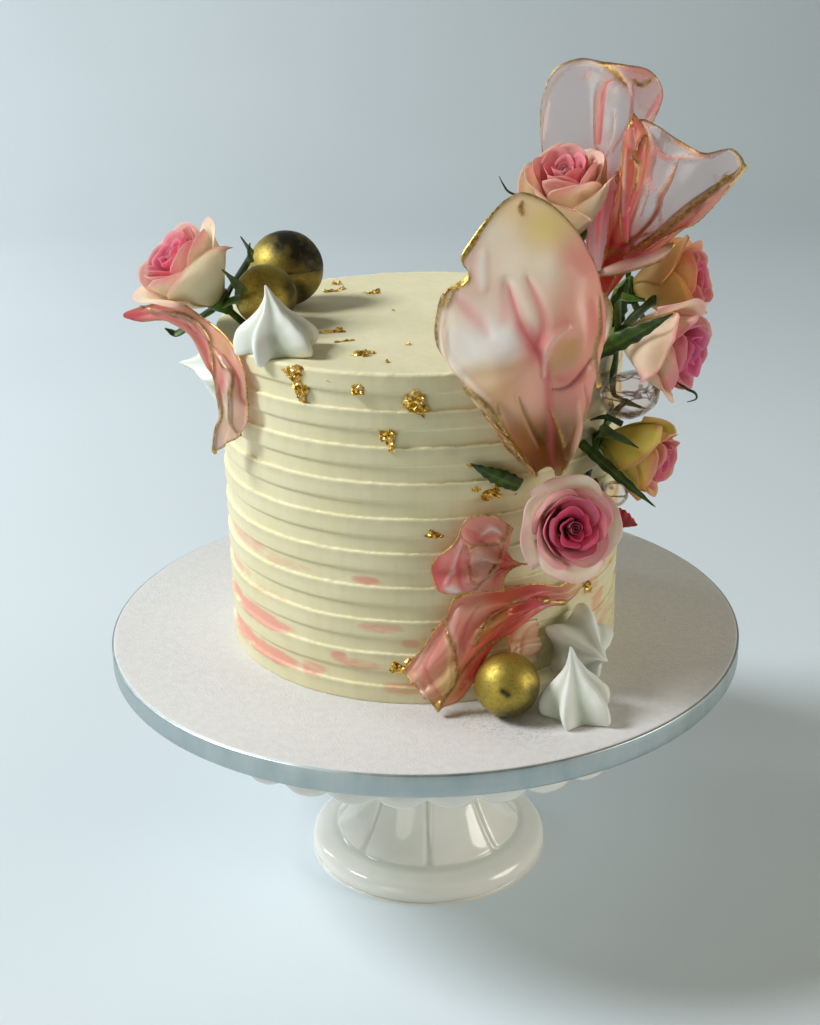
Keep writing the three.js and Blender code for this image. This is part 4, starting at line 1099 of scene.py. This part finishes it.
# For each sail: its shape as in the solids; tones, "x y colour milkiness", which spread over it
# from where they lie on the picture; and strokes drawn over them, "colour width strength rise
# gilding milkiness: spots of the picture". The last three are 0 where they are left out. The rise
# is in mm. A ruffle's rows are a spot of the picture and its depth on one edge and on the other.
# The tones and strokes also paint light and shade: the white ones are painted highlights, as are some pearl,
# shell and cream strokes on raised folds; the tan and wine strokes in hollows and the tones that darken
# towards the shaded right and the foot are partly painted shade.
SAILS = {
    "sail_front": dict(
        form=fan_grid, gilt=2.2,
        shape=dict(
            foot=place(52.5, -79, 101), width=4, folds=2, ripple=1.4, bow=14,
            grid=(160, 92), notch=(449, 275, 7.5, 13),
            swells=[(556, 300, 62, 100, 10), (508, 392, 40, 42, 5), (480, 300, 30, 60, -2)],
            rim="""
42 -87 116, 30 -92 131, 16 -95 149, 7 -93 165, 8 -92 180, 14 -92 194, 20 -90 203, 28 -86 212.5, 36 -81 219,
44 -78 220, 56 -78 213, 68 -80 197, 74 -81 180, 75.5 -81 165, 72 -82 145, 68 -81 128, 63 -79 115""",
        ),
        tones="""
522 205 pale .97, 545 228 cream .98, 497 238 pearl .96, 470 268 shell .93, 512 265 pearl .96,
546 268 pearl .97, 580 262 pink .96, 459 296 shell .92, 448 322 pearl .93, 472 347 white .98,
505 338 white .98, 525 320 pearl .97, 536 348 pink .96, 575 316 blush .96, 594 320 pink .95,
485 376 pale .96, 505 400 peach .94, 530 395 blush .94, 565 352 tan .95, 575 385 pink .94,
520 438 amber .93, 542 448 amber .93, 562 446 umber .93, 580 440 tan .92""",
        strokes="""
umber 22 .3: 500,405 525,432 560,436 582,420
rose 12 .3 -.6: 459,300 474,318 488,334
rose 11 .22 -.4: 504,282 505,314 500,326
rose 13 .42 -.9: 508,284 519,320 533,345 545,367
rose 4 .4 -.3: 510,290 521,325 533,345
rose 8 .6 -.9: 540,352 546,370 550,410 552,470
rose 9 .5 -.7: 527,278 540,308 543,328 536,346
rose 26 .28: 520,325 535,350 566,322
white 7 .9 .5: 484,252 482,268 484,288
white 16 .8 .5: 496,330 508,342
white 34 .6 1: 455,335 480,348 515,346
tan 11 .4 -.8: 464,378 500,372 526,360
shell 5 .8 1.3: 568,328 555,338 546,354 544,376
tan 14 .75 -1: 572,340 562,352 553,372
salmon 14 .4: 590,300 592,340 582,380
salmon 11 .6: 556,378 572,380 584,366
umber 5 .75 .5 .5: 449,287 440,308 437,335 441,360 463,385 490,409 505,438 520,460
pearl 4 .8 .6: 446,330 448,352 466,377 490,400
wine 4 .85 -.8: 552,391 568,387 583,372 592,358
umber 6 .65 -.6 .15: 519,398 530,425 545,446
tan 3 .6 .5: 515,396 526,424 538,448
amber 3.5 .8 .8 .5: 550,408 562,436 567,458
blush 4 .8 .9: 577,400 579,427 573,456
wine 4 .4 -.5: 584,385 588,410 580,452
umber 4.5 .75 .4 .55: 458,384 488,408 512,446 534,470
umber 2.5 .7 0 .4: 466,396 494,425 512,448 528,466
umber 5 .6 .7 .3: 497,404 502,430 512,450
umber 4 .6 0 .4: 438,330 441,356 458,382
tan 2.5 .7 .3: 446,312 444,335 450,360
umber 5 .7 .6 .6: 451,282 443,300 446,305 456,287
umber 4 .9 .6 .4 .9: 598,296 599,330 594,352 598,384
amber 4 .9 .5 1: 522,203 520,209 523,214
amber 7 .5 .7 3: 504,199 484,221 470,243 460,258 462,270
amber 7 .6 .6 3: 462,268 466,277 460,284 450,288
umber 3 .8 0 .6: 505,194 517,190 532,195""",
        ruffles=[
            dict(cup=2, grid=(16, 50), rows="""
601 290 -76 596 300 -79, 612 306 -74 599 312 -79, 610 332 -74 596 334 -79, 600 352 -76 592 352 -79,
599 372 -76 588 366 -79, 602 386 -77 590 388 -79""",
             tones="""
604 310 moss .5, 606 335 pearl .4, 595 360 pearl .5, 596 384 moss .6""",
             strokes="""
umber 3 .7 0 .3 .9: 596,300 599,320 594,350 590,366 596,386"""),
        ],
    ),
    "sail_top": dict(
        form=fan_grid, gilt=0.8,
        shape=dict(
            foot=place(76, -20, CAKE_HEIGHT + 1), neck=place(80, -22, 208), width=4, folds=2.5,
            ripple=2.2, grid=(130, 90),
            rim="""
60 -22 214, 54 -26 225, 52 -28 238, 53 -28 251, 58 -27 262, 68 -25 266, 79 -20 264, 89 -14 262,
100 -10 259, 106 -8 250, 103 -9 238""",
        ),
        tones="""
560 95 smoke .05, 590 100 smoke .05, 575 130 smoke .05, 620 110 smoke .05, 650 95 pink .2, 640 75 pink .5,
610 150 pink .2, 600 190 rose .7""",
        strokes="""
salmon 8 .8 -1.2 0 .7: 616,80 606,86 602,107 600,145
rose 2.5 .9 .5 0 .9: 606,86 603,110 601,143
rose 4 .7 -.8 0 .7: 633,82 631,118 622,150
white 3 .7 .6 0 .6: 614,112 613,133 607,152
pink 6 .7 0 0 .5: 590,72 584,80
white 5 .8 .4 0 .6: 550,100 544,118 543,140
shell 3.5 .9 .9 0 .6: 603,68 580,62 562,72 549,92 542,120 541,146
pink 3 .8 .8 0 .75: 626,86 632,100 631,118 622,136 612,152
pink 5 .5 0 0 .3: 632,84 640,104 650,112
white 5 .8 .3 0 .6: 575,66 590,64 602,70
amber 4.5 .8 .5 .75 .85: 593,60 612,70 626,86
umber 3 .8 .3 .8 .8: 632,78 640,85 654,79
pink 7 .7 .3 0 .8: 620,66 641,72 662,78
rose 6 .6 0 0 .7: 664,88 656,104 646,118""",
    ),
    "sail_right": dict(
        form=fan_grid, gilt=1.0,
        shape=dict(
            foot=place(73.4, -42.2, CAKE_HEIGHT + 1), neck=place(80, -48, 186), width=3,
            folds=3, ripple=1.8, grid=(132, 80),
            rim="""
79 -52 201, 82 -50 216, 84 -47 231, 87 -45 242, 93 -42 243, 101 -36 239, 112 -24 231.5, 124 -17 225,
135 -15 226, 140 -24 221, 134 -32 216, 126 -40 208, 117 -46 201, 106 -50 197, 94 -52 190""",
        ),
        tones="""
660 135 smoke .05, 690 165 smoke .05, 700 185 smoke .05, 655 160 pink .05, 650 205 smoke .05,
630 160 salmon .6, 628 200 salmon .6, 610 240 red .95, 602 262 red .95, 655 240 pink .5, 690 215 pink .2,
725 175 smoke .1, 680 190 smoke .05, 675 175 smoke .05, 715 165 smoke .05""",
        strokes="""
salmon 10 .8 1.2 0 .9: 628,128 624,160 621,200 616,240
salmon 9 .85 1.4 0 .9: 638,118 646,140 643,165 632,200 622,240
amber 2.5 .8 .3 .7 .9: 626,125 624,150 622,190 619,220 628,245
umber 2.5 .8 .3 .5 .9: 646,130 645,148 634,160 637,176 628,200
rose 5 .6 -.9: 636,115 630,150 632,190 622,230
wine 4 .7 -.6 .2 .9: 640,200 628,232 634,250
red 14 .8 0 0 .95: 612,215 600,245 598,268
rose 3 .8 .7 .15 .8: 650,138 656,150 666,158 677,158 720,157
rose 3 .7 -.5 .2 .7: 664,129 682,146 699,154 720,151 733,146
red 4.5 .7 .9 .25 .85: 676,160 668,181 659,197 657,208 648,222 632,238
pink 4 .6 0 0 .6: 658,206 662,228
pink 3 .6 .4 0 .6: 645,175 656,192
umber 5 .8 .8 .75 .92: 727,174 720,187 696,203 674,221 654,237 628,251
pink 7 .75 -.6 0 .85: 730,182 705,208 682,230 660,247 620,266
red 6 .6 .5 0 .9: 690,222 664,243 622,260 604,266
pearl 6 .7 .6 0 .85: 672,250 648,262 616,272
white 7 .5 0 0 .5: 716,176 722,186
amber 6 .5 .6 .3 .95: 605,258 612,250 622,256
cream 7 .9 1 .45 1: 730,145 738,151 743,160 743,168
white 4 .7 .4 0 .5: 640,214 646,190 644,178""",
        ruffles=[
            dict(cup=3, grid=(30, 66), rows="""
626 132 -57 633 112 -54, 623 150 -57 645 130 -54, 622 175 -57 647 148 -54, 621 200 -57 641 184 -54,
620 222 -56 632 210 -54, 624 242 -54 628 240 -54""",
             tones="""
630 130 salmon .85, 640 140 salmon .85, 628 170 salmon .9, 640 170 coral .85, 626 210 rose .9""",
             strokes="""
umber 3.5 .8 -1.2 .5 .9: 645,134 638,148 633,157 639,165 637,180 629,208
pink 5 .9 .8 0 .9: 632,128 630,140 636,150
white 3 .4 .8 0 .9: 627,150 625,180 624,215
pink 4 .5 .9 0 .9: 643,140 641,165 636,190"""),
            dict(cup=2.5, grid=(20, 90), rows="""
744 163 -22 747 168 -22, 735 173 -26 734 184 -27, 722 181 -30 719 200 -31, 703 198 -36 704 213 -37,
674 222 -43 681 231 -44, 645 244 -48 655 251 -49, 622 258 -50 630 264 -51""",
             tones="""
740 170 cream .8, 722 190 blush .8, 700 207 blush .8, 675 227 salmon .85, 640 252 rose .9""",
             strokes="""
umber 4 .8 .8 .8 .95: 745,164 722,182 703,199 674,223 645,245 625,257
amber 5 .8 .6 .9 .95: 731,178 716,190
amber 4 .8 .6 .9 .95: 704,212 697,216 708,205
pink 5 .7 -.8 0 .9: 716,196 690,215 664,236"""),
            dict(cup=2.5, grid=(18, 66), rows="""
598 272 -51 600 275 -51, 606 267 -52 612 275 -52, 623 260 -52 630 271 -53, 648 251 -50 652 264 -51,
663 246 -47 665 257 -48, 673 242 -45 674 244 -45""",
             tones="""
615 264 pink .8, 612 273 pearl .85, 650 260 pearl .8, 648 252 rose .8, 668 248 shell .5""",
             strokes="""
amber 3 .8 .3 .9 .9: 600,275 612,275 630,271 652,264 665,257 674,244"""),
        ],
    ),
    "sail_middle": dict(
        form=fan_grid, gilt=1.0,
        shape=dict(
            foot=place(46, -83, 62), neck=place(32, -96, 68), width=2, folds=3, ripple=1.8,
            grid=(110, 70),
            rim="""
38 -93 83, 28 -97 91, 18 -98 89, 13 -100 80, 5 -99 72, 3 -98 64, 7 -99 57, 19 -99 56, 34 -96 55""",
        ),
        tones="""
490 525 pink .6, 475 540 pink .6, 445 560 pink .9, 440 575 rose .9, 485 560 smoke .1, 455 580 pink .85,
505 560 coral .6, 515 590 coral .7""",
        strokes="""
umber 2.6 .8 .6 .4 .9: 459,525 463,520 480,514 500,516 508,522 504,538 495,544 473,547 465,543
umber 2.6 .8 .6 .4 .9: 503,545 501,554 490,573 475,590
umber 2.4 .7 .5 .4 .9: 472,548 468,560 472,580 477,585
rose 5 .6 -.6 0 .9: 462,548 458,565 462,588
rose 6 .5 -.5 0 .85: 508,548 505,562 494,582
rose 3 .8 1 .2 .9: 461,541 467,552 470,582
white 3 .5 .8 0 .9: 462,540 455,560 446,585
white 7 .85 .5 0 .9: 446,588 458,591
white 4 .7 .5 0 .7: 480,536 492,528 501,534
rose 8 .5 -.8 0 .85: 466,530 484,540 500,536
peach 3 .6 .5 0 .6: 474,548 490,541 505,542
umber 3 .7 .4 .6 .9: 522,565 520,578 513,587
red 9 .5 0 0 .95: 437,545 433,570""",
    ),
    "sail_left": dict(
        form=drape_grid, gilt=1.1,
        shape=dict(
            folds=2.5, ripple=1.2, cup=1.5, grid=(64, 120),
            rows="""
-128 -36 161.6 -127.5 -34 163.6, -122 -36 159.6 -119 -33 166, -110.7 -38 160 -105 -33 168,
-99.7 -42 154 -93 -38 162, -94.6 -46 145 -81 -48 155, -90.3 -50 137 -74 -59 145, -88 -52 126 -73 -61 136,
-90 -53 115 -73 -62 123, -91.5 -54 104 -77.5 -60 115""",
        ),
        tones="""
135 318 rose .8, 160 312 pink .85, 190 318 blush .85, 205 340 pink .85, 222 345 peach .85, 218 375 pink .8,
240 385 blush .8, 228 410 smoke .5, 245 415 blush .6, 222 440 shell .5""",
        strokes="""
umber 2.8 .8 .9 .45: 137,306 157,312 184,315 200,326 209,338 212,354 214,379 219,398 222,416 216,433 214,455
umber 2.8 .75 .8 .4: 216,354 224,366 233,376 230,401 232,424 241,436
rose 3 .7 -.7 .1: 212,345 226,358 238,378 241,398 251,408
rose 7 .5 -.9: 190,322 204,345 210,365 213,390
rose 8 .35: 222,380 221,400
white 4 .5 .7: 222,356 229,372 226,396 228,418
white 3 .4 .6: 150,310 172,314 192,325
umber 2.5 .7 .4 .4: 249,385 249,405 255,424
rose 5 .5 -.5: 155,316 175,320 195,330
peach 9 .5 .4: 215,330 225,350""",
    ),
    "sail_low": dict(
        form=drape_grid, gilt=1.2,
        shape=dict(
            folds=3, ripple=1.4, cup=2.5, grid=(90, 130),
            rows="""
70 -64 50 72 -61.5 44, 59.3 -77 49 64 -73 40.4, 47.7 -85.5 54 52.2 -83 41, 36.7 -91 55 41 -89.5 36,
23.7 -95 55 32.4 -91.5 30.6, 13 -97 53.4 26.3 -93.5 22.5, 8.3 -98 44.4 21 -97 12, 0 -98.5 32 13.9 -101 5.5,
-10 -99 19.5 5 -103 3.4""",
        ),
        tones="""
585 590 cream .3, 560 595 pink .4, 535 600 rose .75, 505 600 coral .75, 475 610 blush .7, 460 640 pink .65,
485 640 coral .8, 480 670 coral .85, 430 660 pink .6, 420 690 blush .5, 450 685 cream .6, 465 695 coral .8""",
        strokes="""
red 12 .65 -1 0 .92: 520,606 502,624 487,651 461,688
amber 9 .75 1.4 .1 .9: 507,614 490,627 475,641
umber 2.4 .7 .6 .5 .9: 511,608 496,618 478,632 472,645
umber 2.8 .8 1 .55 .9: 468,591 449,603 447,625 456,658 455,678 449,694 433,713
umber 2.8 .8 .9 .55 .85: 589,588 577,603 557,602 520,600 496,611 481,628
umber 2.6 .7 .6 .4 .9: 563,606 530,625 502,637 472,658 457,680
red 4 .6 .8 0 .92: 530,612 514,626 490,650 468,680
rose 10 .7 .4 0 .85: 540,602 522,606
cream 6 .7 .9 0 .8: 447,636 449,674 440,702
white 3 .5 .5 0 .7: 430,640 415,668
shell 5 .5 .6 0 .7: 462,606 452,624 458,652
rose 3 .5 -.5 0 .7: 478,606 466,628 464,650
rose 2.5 .6 -.4 0 .7: 424,664 432,684 444,700
white 2.5 .5 .4 0 .7: 414,676 424,694 432,706
pink 3 .7 .6 0 .8: 548,600 530,612 512,622
pink 3 .6 -.5 0 .8: 440,640 428,665 424,690
amber 6 .8 .5 .7 .95: 440,702 431,712
amber 8 .7 .4 .8 .9: 580,596 590,589""",
    ),
    "sail_corner": dict(
        form=drape_grid, gilt=0.3,
        shape=dict(
            folds=2, ripple=0.9, cup=1.6, grid=(50, 50),
            rows="""
36 -88.5 30 36 -90 17, 42 -86 35 43 -86.5 14, 49 -82 35.5 50 -82 15""",
        ),
        tones="""
512 640 peach .7, 524 630 pale .5, 536 640 blush .45, 538 655 pale .5""",
        strokes="""
coral 5 .85 .5 .1 .85: 508,662 509,642 517,626 532,617
rose 2.5 .6 -.5 0 .7: 520,660 521,644 528,630 540,622
amber 3 .4 .5 0 .7: 512,640 530,636 546,628
white 3 .4 .5 0 .7: 514,652 526,646 540,644""",
    ),
}  # fmt: skip


def painted(grid, tones, strokes, gilt, foot_too):
    """Raises a sail's folds and gives the colour, with its painted highlights and painted shade, and the
    milkiness and gilding of each of its points.
    """
    spots, tones = drawn(grid), table(tones)
    share = [1 / (((spots - [x, y]) ** 2).sum(-1) + TONE_REACH**2) ** 1.5 for x, y, _, _ in tones]
    total = sum(share)
    colour = sum(s[..., None] * PALETTE[name] for s, (_, _, name, _) in zip(share, tones)) / total[..., None]
    milky = sum(s * m for s, (_, _, _, m) in zip(share, tones)) / total
    gilding, height = np.zeros(milky.shape), np.zeros(milky.shape)
    for (name, *numbers), line in drawing(strokes):
        width, strength, rise, gold, cover = [*map(float, numbers), 0, 0, 0][:5]
        here = near(spots, line, width, taper=0.75)
        colour = blend(colour, PALETTE[name], strength * here)
        milky = np.maximum(milky, cover * here)
        gilding = np.maximum(gilding, gold * here)
        height += rise * near(spots, line, 1.5 * width, taper=0.5)
    normal = normals(grid)
    facing = np.sign(((EYE - grid) * normal).sum(-1, keepdims=True))
    raised = grid + normal * facing * height[..., None]
    worn = np.clip(0.75 + 0.5 * fuzz(grid, size=9, seed=3), 0.25, 1)
    edge = smooth(gilt, 0.25, from_edges(grid, foot_too)) * worn
    colour = blend(colour, PALETTE["umber"], 0.6 * edge)
    milky = np.maximum(milky, 0.8 * edge)
    return raised, np.concatenate([colour, milky[..., None]], -1), np.maximum(gilding, edge)


def lifted(x, y, depth):
    """The place that is seen at a spot of the picture and has that depth, its y in the scene."""
    ray = FORWARD + (x - PICTURE[0] / 2) / FOCAL * ACROSS + (PICTURE[1] / 2 - y) / FOCAL * UPWARD
    return EYE + ray * (depth - EYE[1]) / ray[1]


def ruffle_grid(rows, cup, grid):
    """A narrow fold between two lines."""
    a, b = (
        along([lifted(*row[k : k + 3]) for row in table(rows)], np.linspace(0, 1, grid[1]))[:, None]
        for k in (0, 3)
    )
    u = np.linspace(0, 1, grid[0])[None, :, None]
    return a + (b - a) * u - np.sin(math.pi * u) * [0, cup, 0]


def make_sail(name, material, form, shape, tones, strokes, gilt, ruffles=()):
    grid = form(**shape)
    grid = grid + 0.35 * fuzz(grid, size=11, seed=len(name))[..., None] * normals(grid)
    raised, paint, gilding = painted(grid, tones, strokes, gilt, form is drape_grid)
    sheet = Shape()
    sheet.sheet(raised, FILM, paint, gilding)
    for fold in ruffles:
        grid = ruffle_grid(fold["rows"], fold["cup"], fold["grid"])
        raised, paint, gilding = painted(grid, fold["tones"], fold["strokes"], gilt, True)
        sheet.sheet(raised, 0.8 * FILM, paint, gilding)
    sheet.piece(f"{name}_film", material, "sail", name)


# ---------------------------------------------------------------- single leaves

# Each leaf's foot, tip, half width and material slot.
LEAVES = {
    "leaf_front": [place(41, -86.5, 99), place(20, -93, 112), 4, "sepal"],
    "leaf_upper": [place(81, -38, 149), place(89, -44, 177), 5.5, "sepal"],
    "leaf_middle": [place(73, -57, 147), place(103.5, -76, 169.5), 4.5, "sepal"],
    "leaf_lower": [place(68.5, -61.5, 109.5), place(98.5, -84, 87.8), 2.6, "sepal"],
    "petal_curl": [place(77, -78, 84), place(92.4, -75, 76), 4.5, "petal"],
}


def make_leaf(name, material, foot, tip, half, slot):
    """A leaf from its foot to its tip that bends a little on the way."""
    v, side = spans(40, 15)
    run = tip - foot
    aside = np.cross(run, [0, 1, 0])
    aside = aside / np.linalg.norm(aside)
    start = 0.08 if slot == "petal" else 0.25
    across = side * half * np.sin(math.pi * (start + (0.98 - start) * v)) * (1 - 0.2 * v)
    jag = 1 + 0.08 * np.sin(40 * v) * np.abs(side) ** 3
    bend = -2 * np.sin(math.pi * v) + 0.12 * across**2 + 0.35 * np.cos(30 * v) * np.abs(side)
    points = foot + v[..., None] * run + (across * jag)[..., None] * aside
    points[..., 1] += bend
    rib = smooth(0.25, 0, np.abs(side)) + 0 * v
    shade = blend(PALETTE["wine"], PALETTE["red"], 0.6 * np.abs(side) + 0 * v)
    shape = Shape()
    shape.sheet(points, PETAL, shade, 0.1 + 0.4 * rib, thin_edge=0.5)
    shape.piece(f"{name}_blade", material, slot, name)


# ---------------------------------------------------------------- assembly

make_camera()
make_stand(porcelain_material())
make_board(board_material())
make_tier(icing_material())
make_gold_leaf(gold_leaf_material())

meringue, gold_dust, bubble = meringue_material(), gold_dust_material(), bubble_material()
petal, green, sail = petal_material(), green_material(), sail_material()
for name, kiss in KISSES.items():
    make_kiss(name, meringue, *kiss)
for name, ball in BALLS.items():
    make_ball(name, gold_dust, *ball)
for name, blown in BUBBLES.items():
    make_bubble(name, bubble, *blown)
for name, rose in ROSES.items():
    make_rose(name, petal, **rose)
    make_calyx(name, green, **rose)
for name, look in SAILS.items():
    make_sail(name, sail, **look)
for name, leaf in LEAVES.items():
    make_leaf(name, petal if leaf[-1] == "petal" else green, *leaf)


# ---------------------------------------------------------------- studio

# Each lamp's place, aim, size, watts and colour.
LIGHTS = {
    "key": [(-1.3, -0.16, 1.38), (0, 0, 0.2), 0.6, 28.5, (0.95, 0.98, 1.0)],
    "bounce": [(-1.0, -1.4, 0.4), (0.03, -0.05, 0.28), 0.9, 3.8, (1.0, 0.93, 0.78)],
    "fill": [(1.45, -0.38, 0.55), (0.06, -0.05, 0.25), 0.8, 9.5, (1.0, 0.94, 0.84)],
    "wall": [(-1.6, 1.0, 1.0), (-0.6, 2.4, 0.3), 1.0, 20, (0.92, 0.97, 1.0)],
}
HAZE = (1, 0.93, 0.64, 1)  # the room's own light


def make_backdrop():
    """A pale sweep: a floor that curves up far behind the stand."""
    bend, radius = 1.6, 1.2
    turns = np.linspace(0.1, math.pi / 2, 16)
    profile = [[-3.5, 0], [bend, 0]]
    profile += [[bend + radius * math.sin(a), radius * (1 - math.cos(a))] for a in turns]
    profile += [[bend + radius, 4]]
    points = [(x, y, z) for y, z in profile for x in (-6, 6)]
    faces = [(2 * k, 2 * k + 1, 2 * k + 3, 2 * k + 2) for k in range(len(profile) - 1)]
    mesh = bpy.data.meshes.new("backdrop")
    mesh.from_pydata(points, [], faces)
    mesh.polygons.foreach_set("use_smooth", [True] * len(faces))
    mesh.materials.append(floor_material())
    backdrop = bpy.data.objects.new("backdrop", mesh)
    bpy.context.scene.collection.objects.link(backdrop)


def make_light(name, at, aim, size, watts, colour):
    data = bpy.data.lights.new(name, "AREA")
    data.shape = "DISK"
    data.size = size
    data.energy = watts
    data.color = colour
    lamp = bpy.data.objects.new(name, data)
    lamp.location = at
    lamp.rotation_euler = (Vector(aim) - Vector(at)).to_track_quat("-Z", "Y").to_euler()
    bpy.context.scene.collection.objects.link(lamp)


def make_world():
    world = bpy.data.worlds.new("studio")
    world.use_nodes = True
    background = world.node_tree.nodes["Background"].inputs
    background["Color"].default_value = HAZE
    background["Strength"].default_value = 0.13
    bpy.context.scene.world = world


make_backdrop()
for name, light in LIGHTS.items():
    make_light(name, *light)
make_world()
bpy.context.scene.view_settings.view_transform = "Standard"
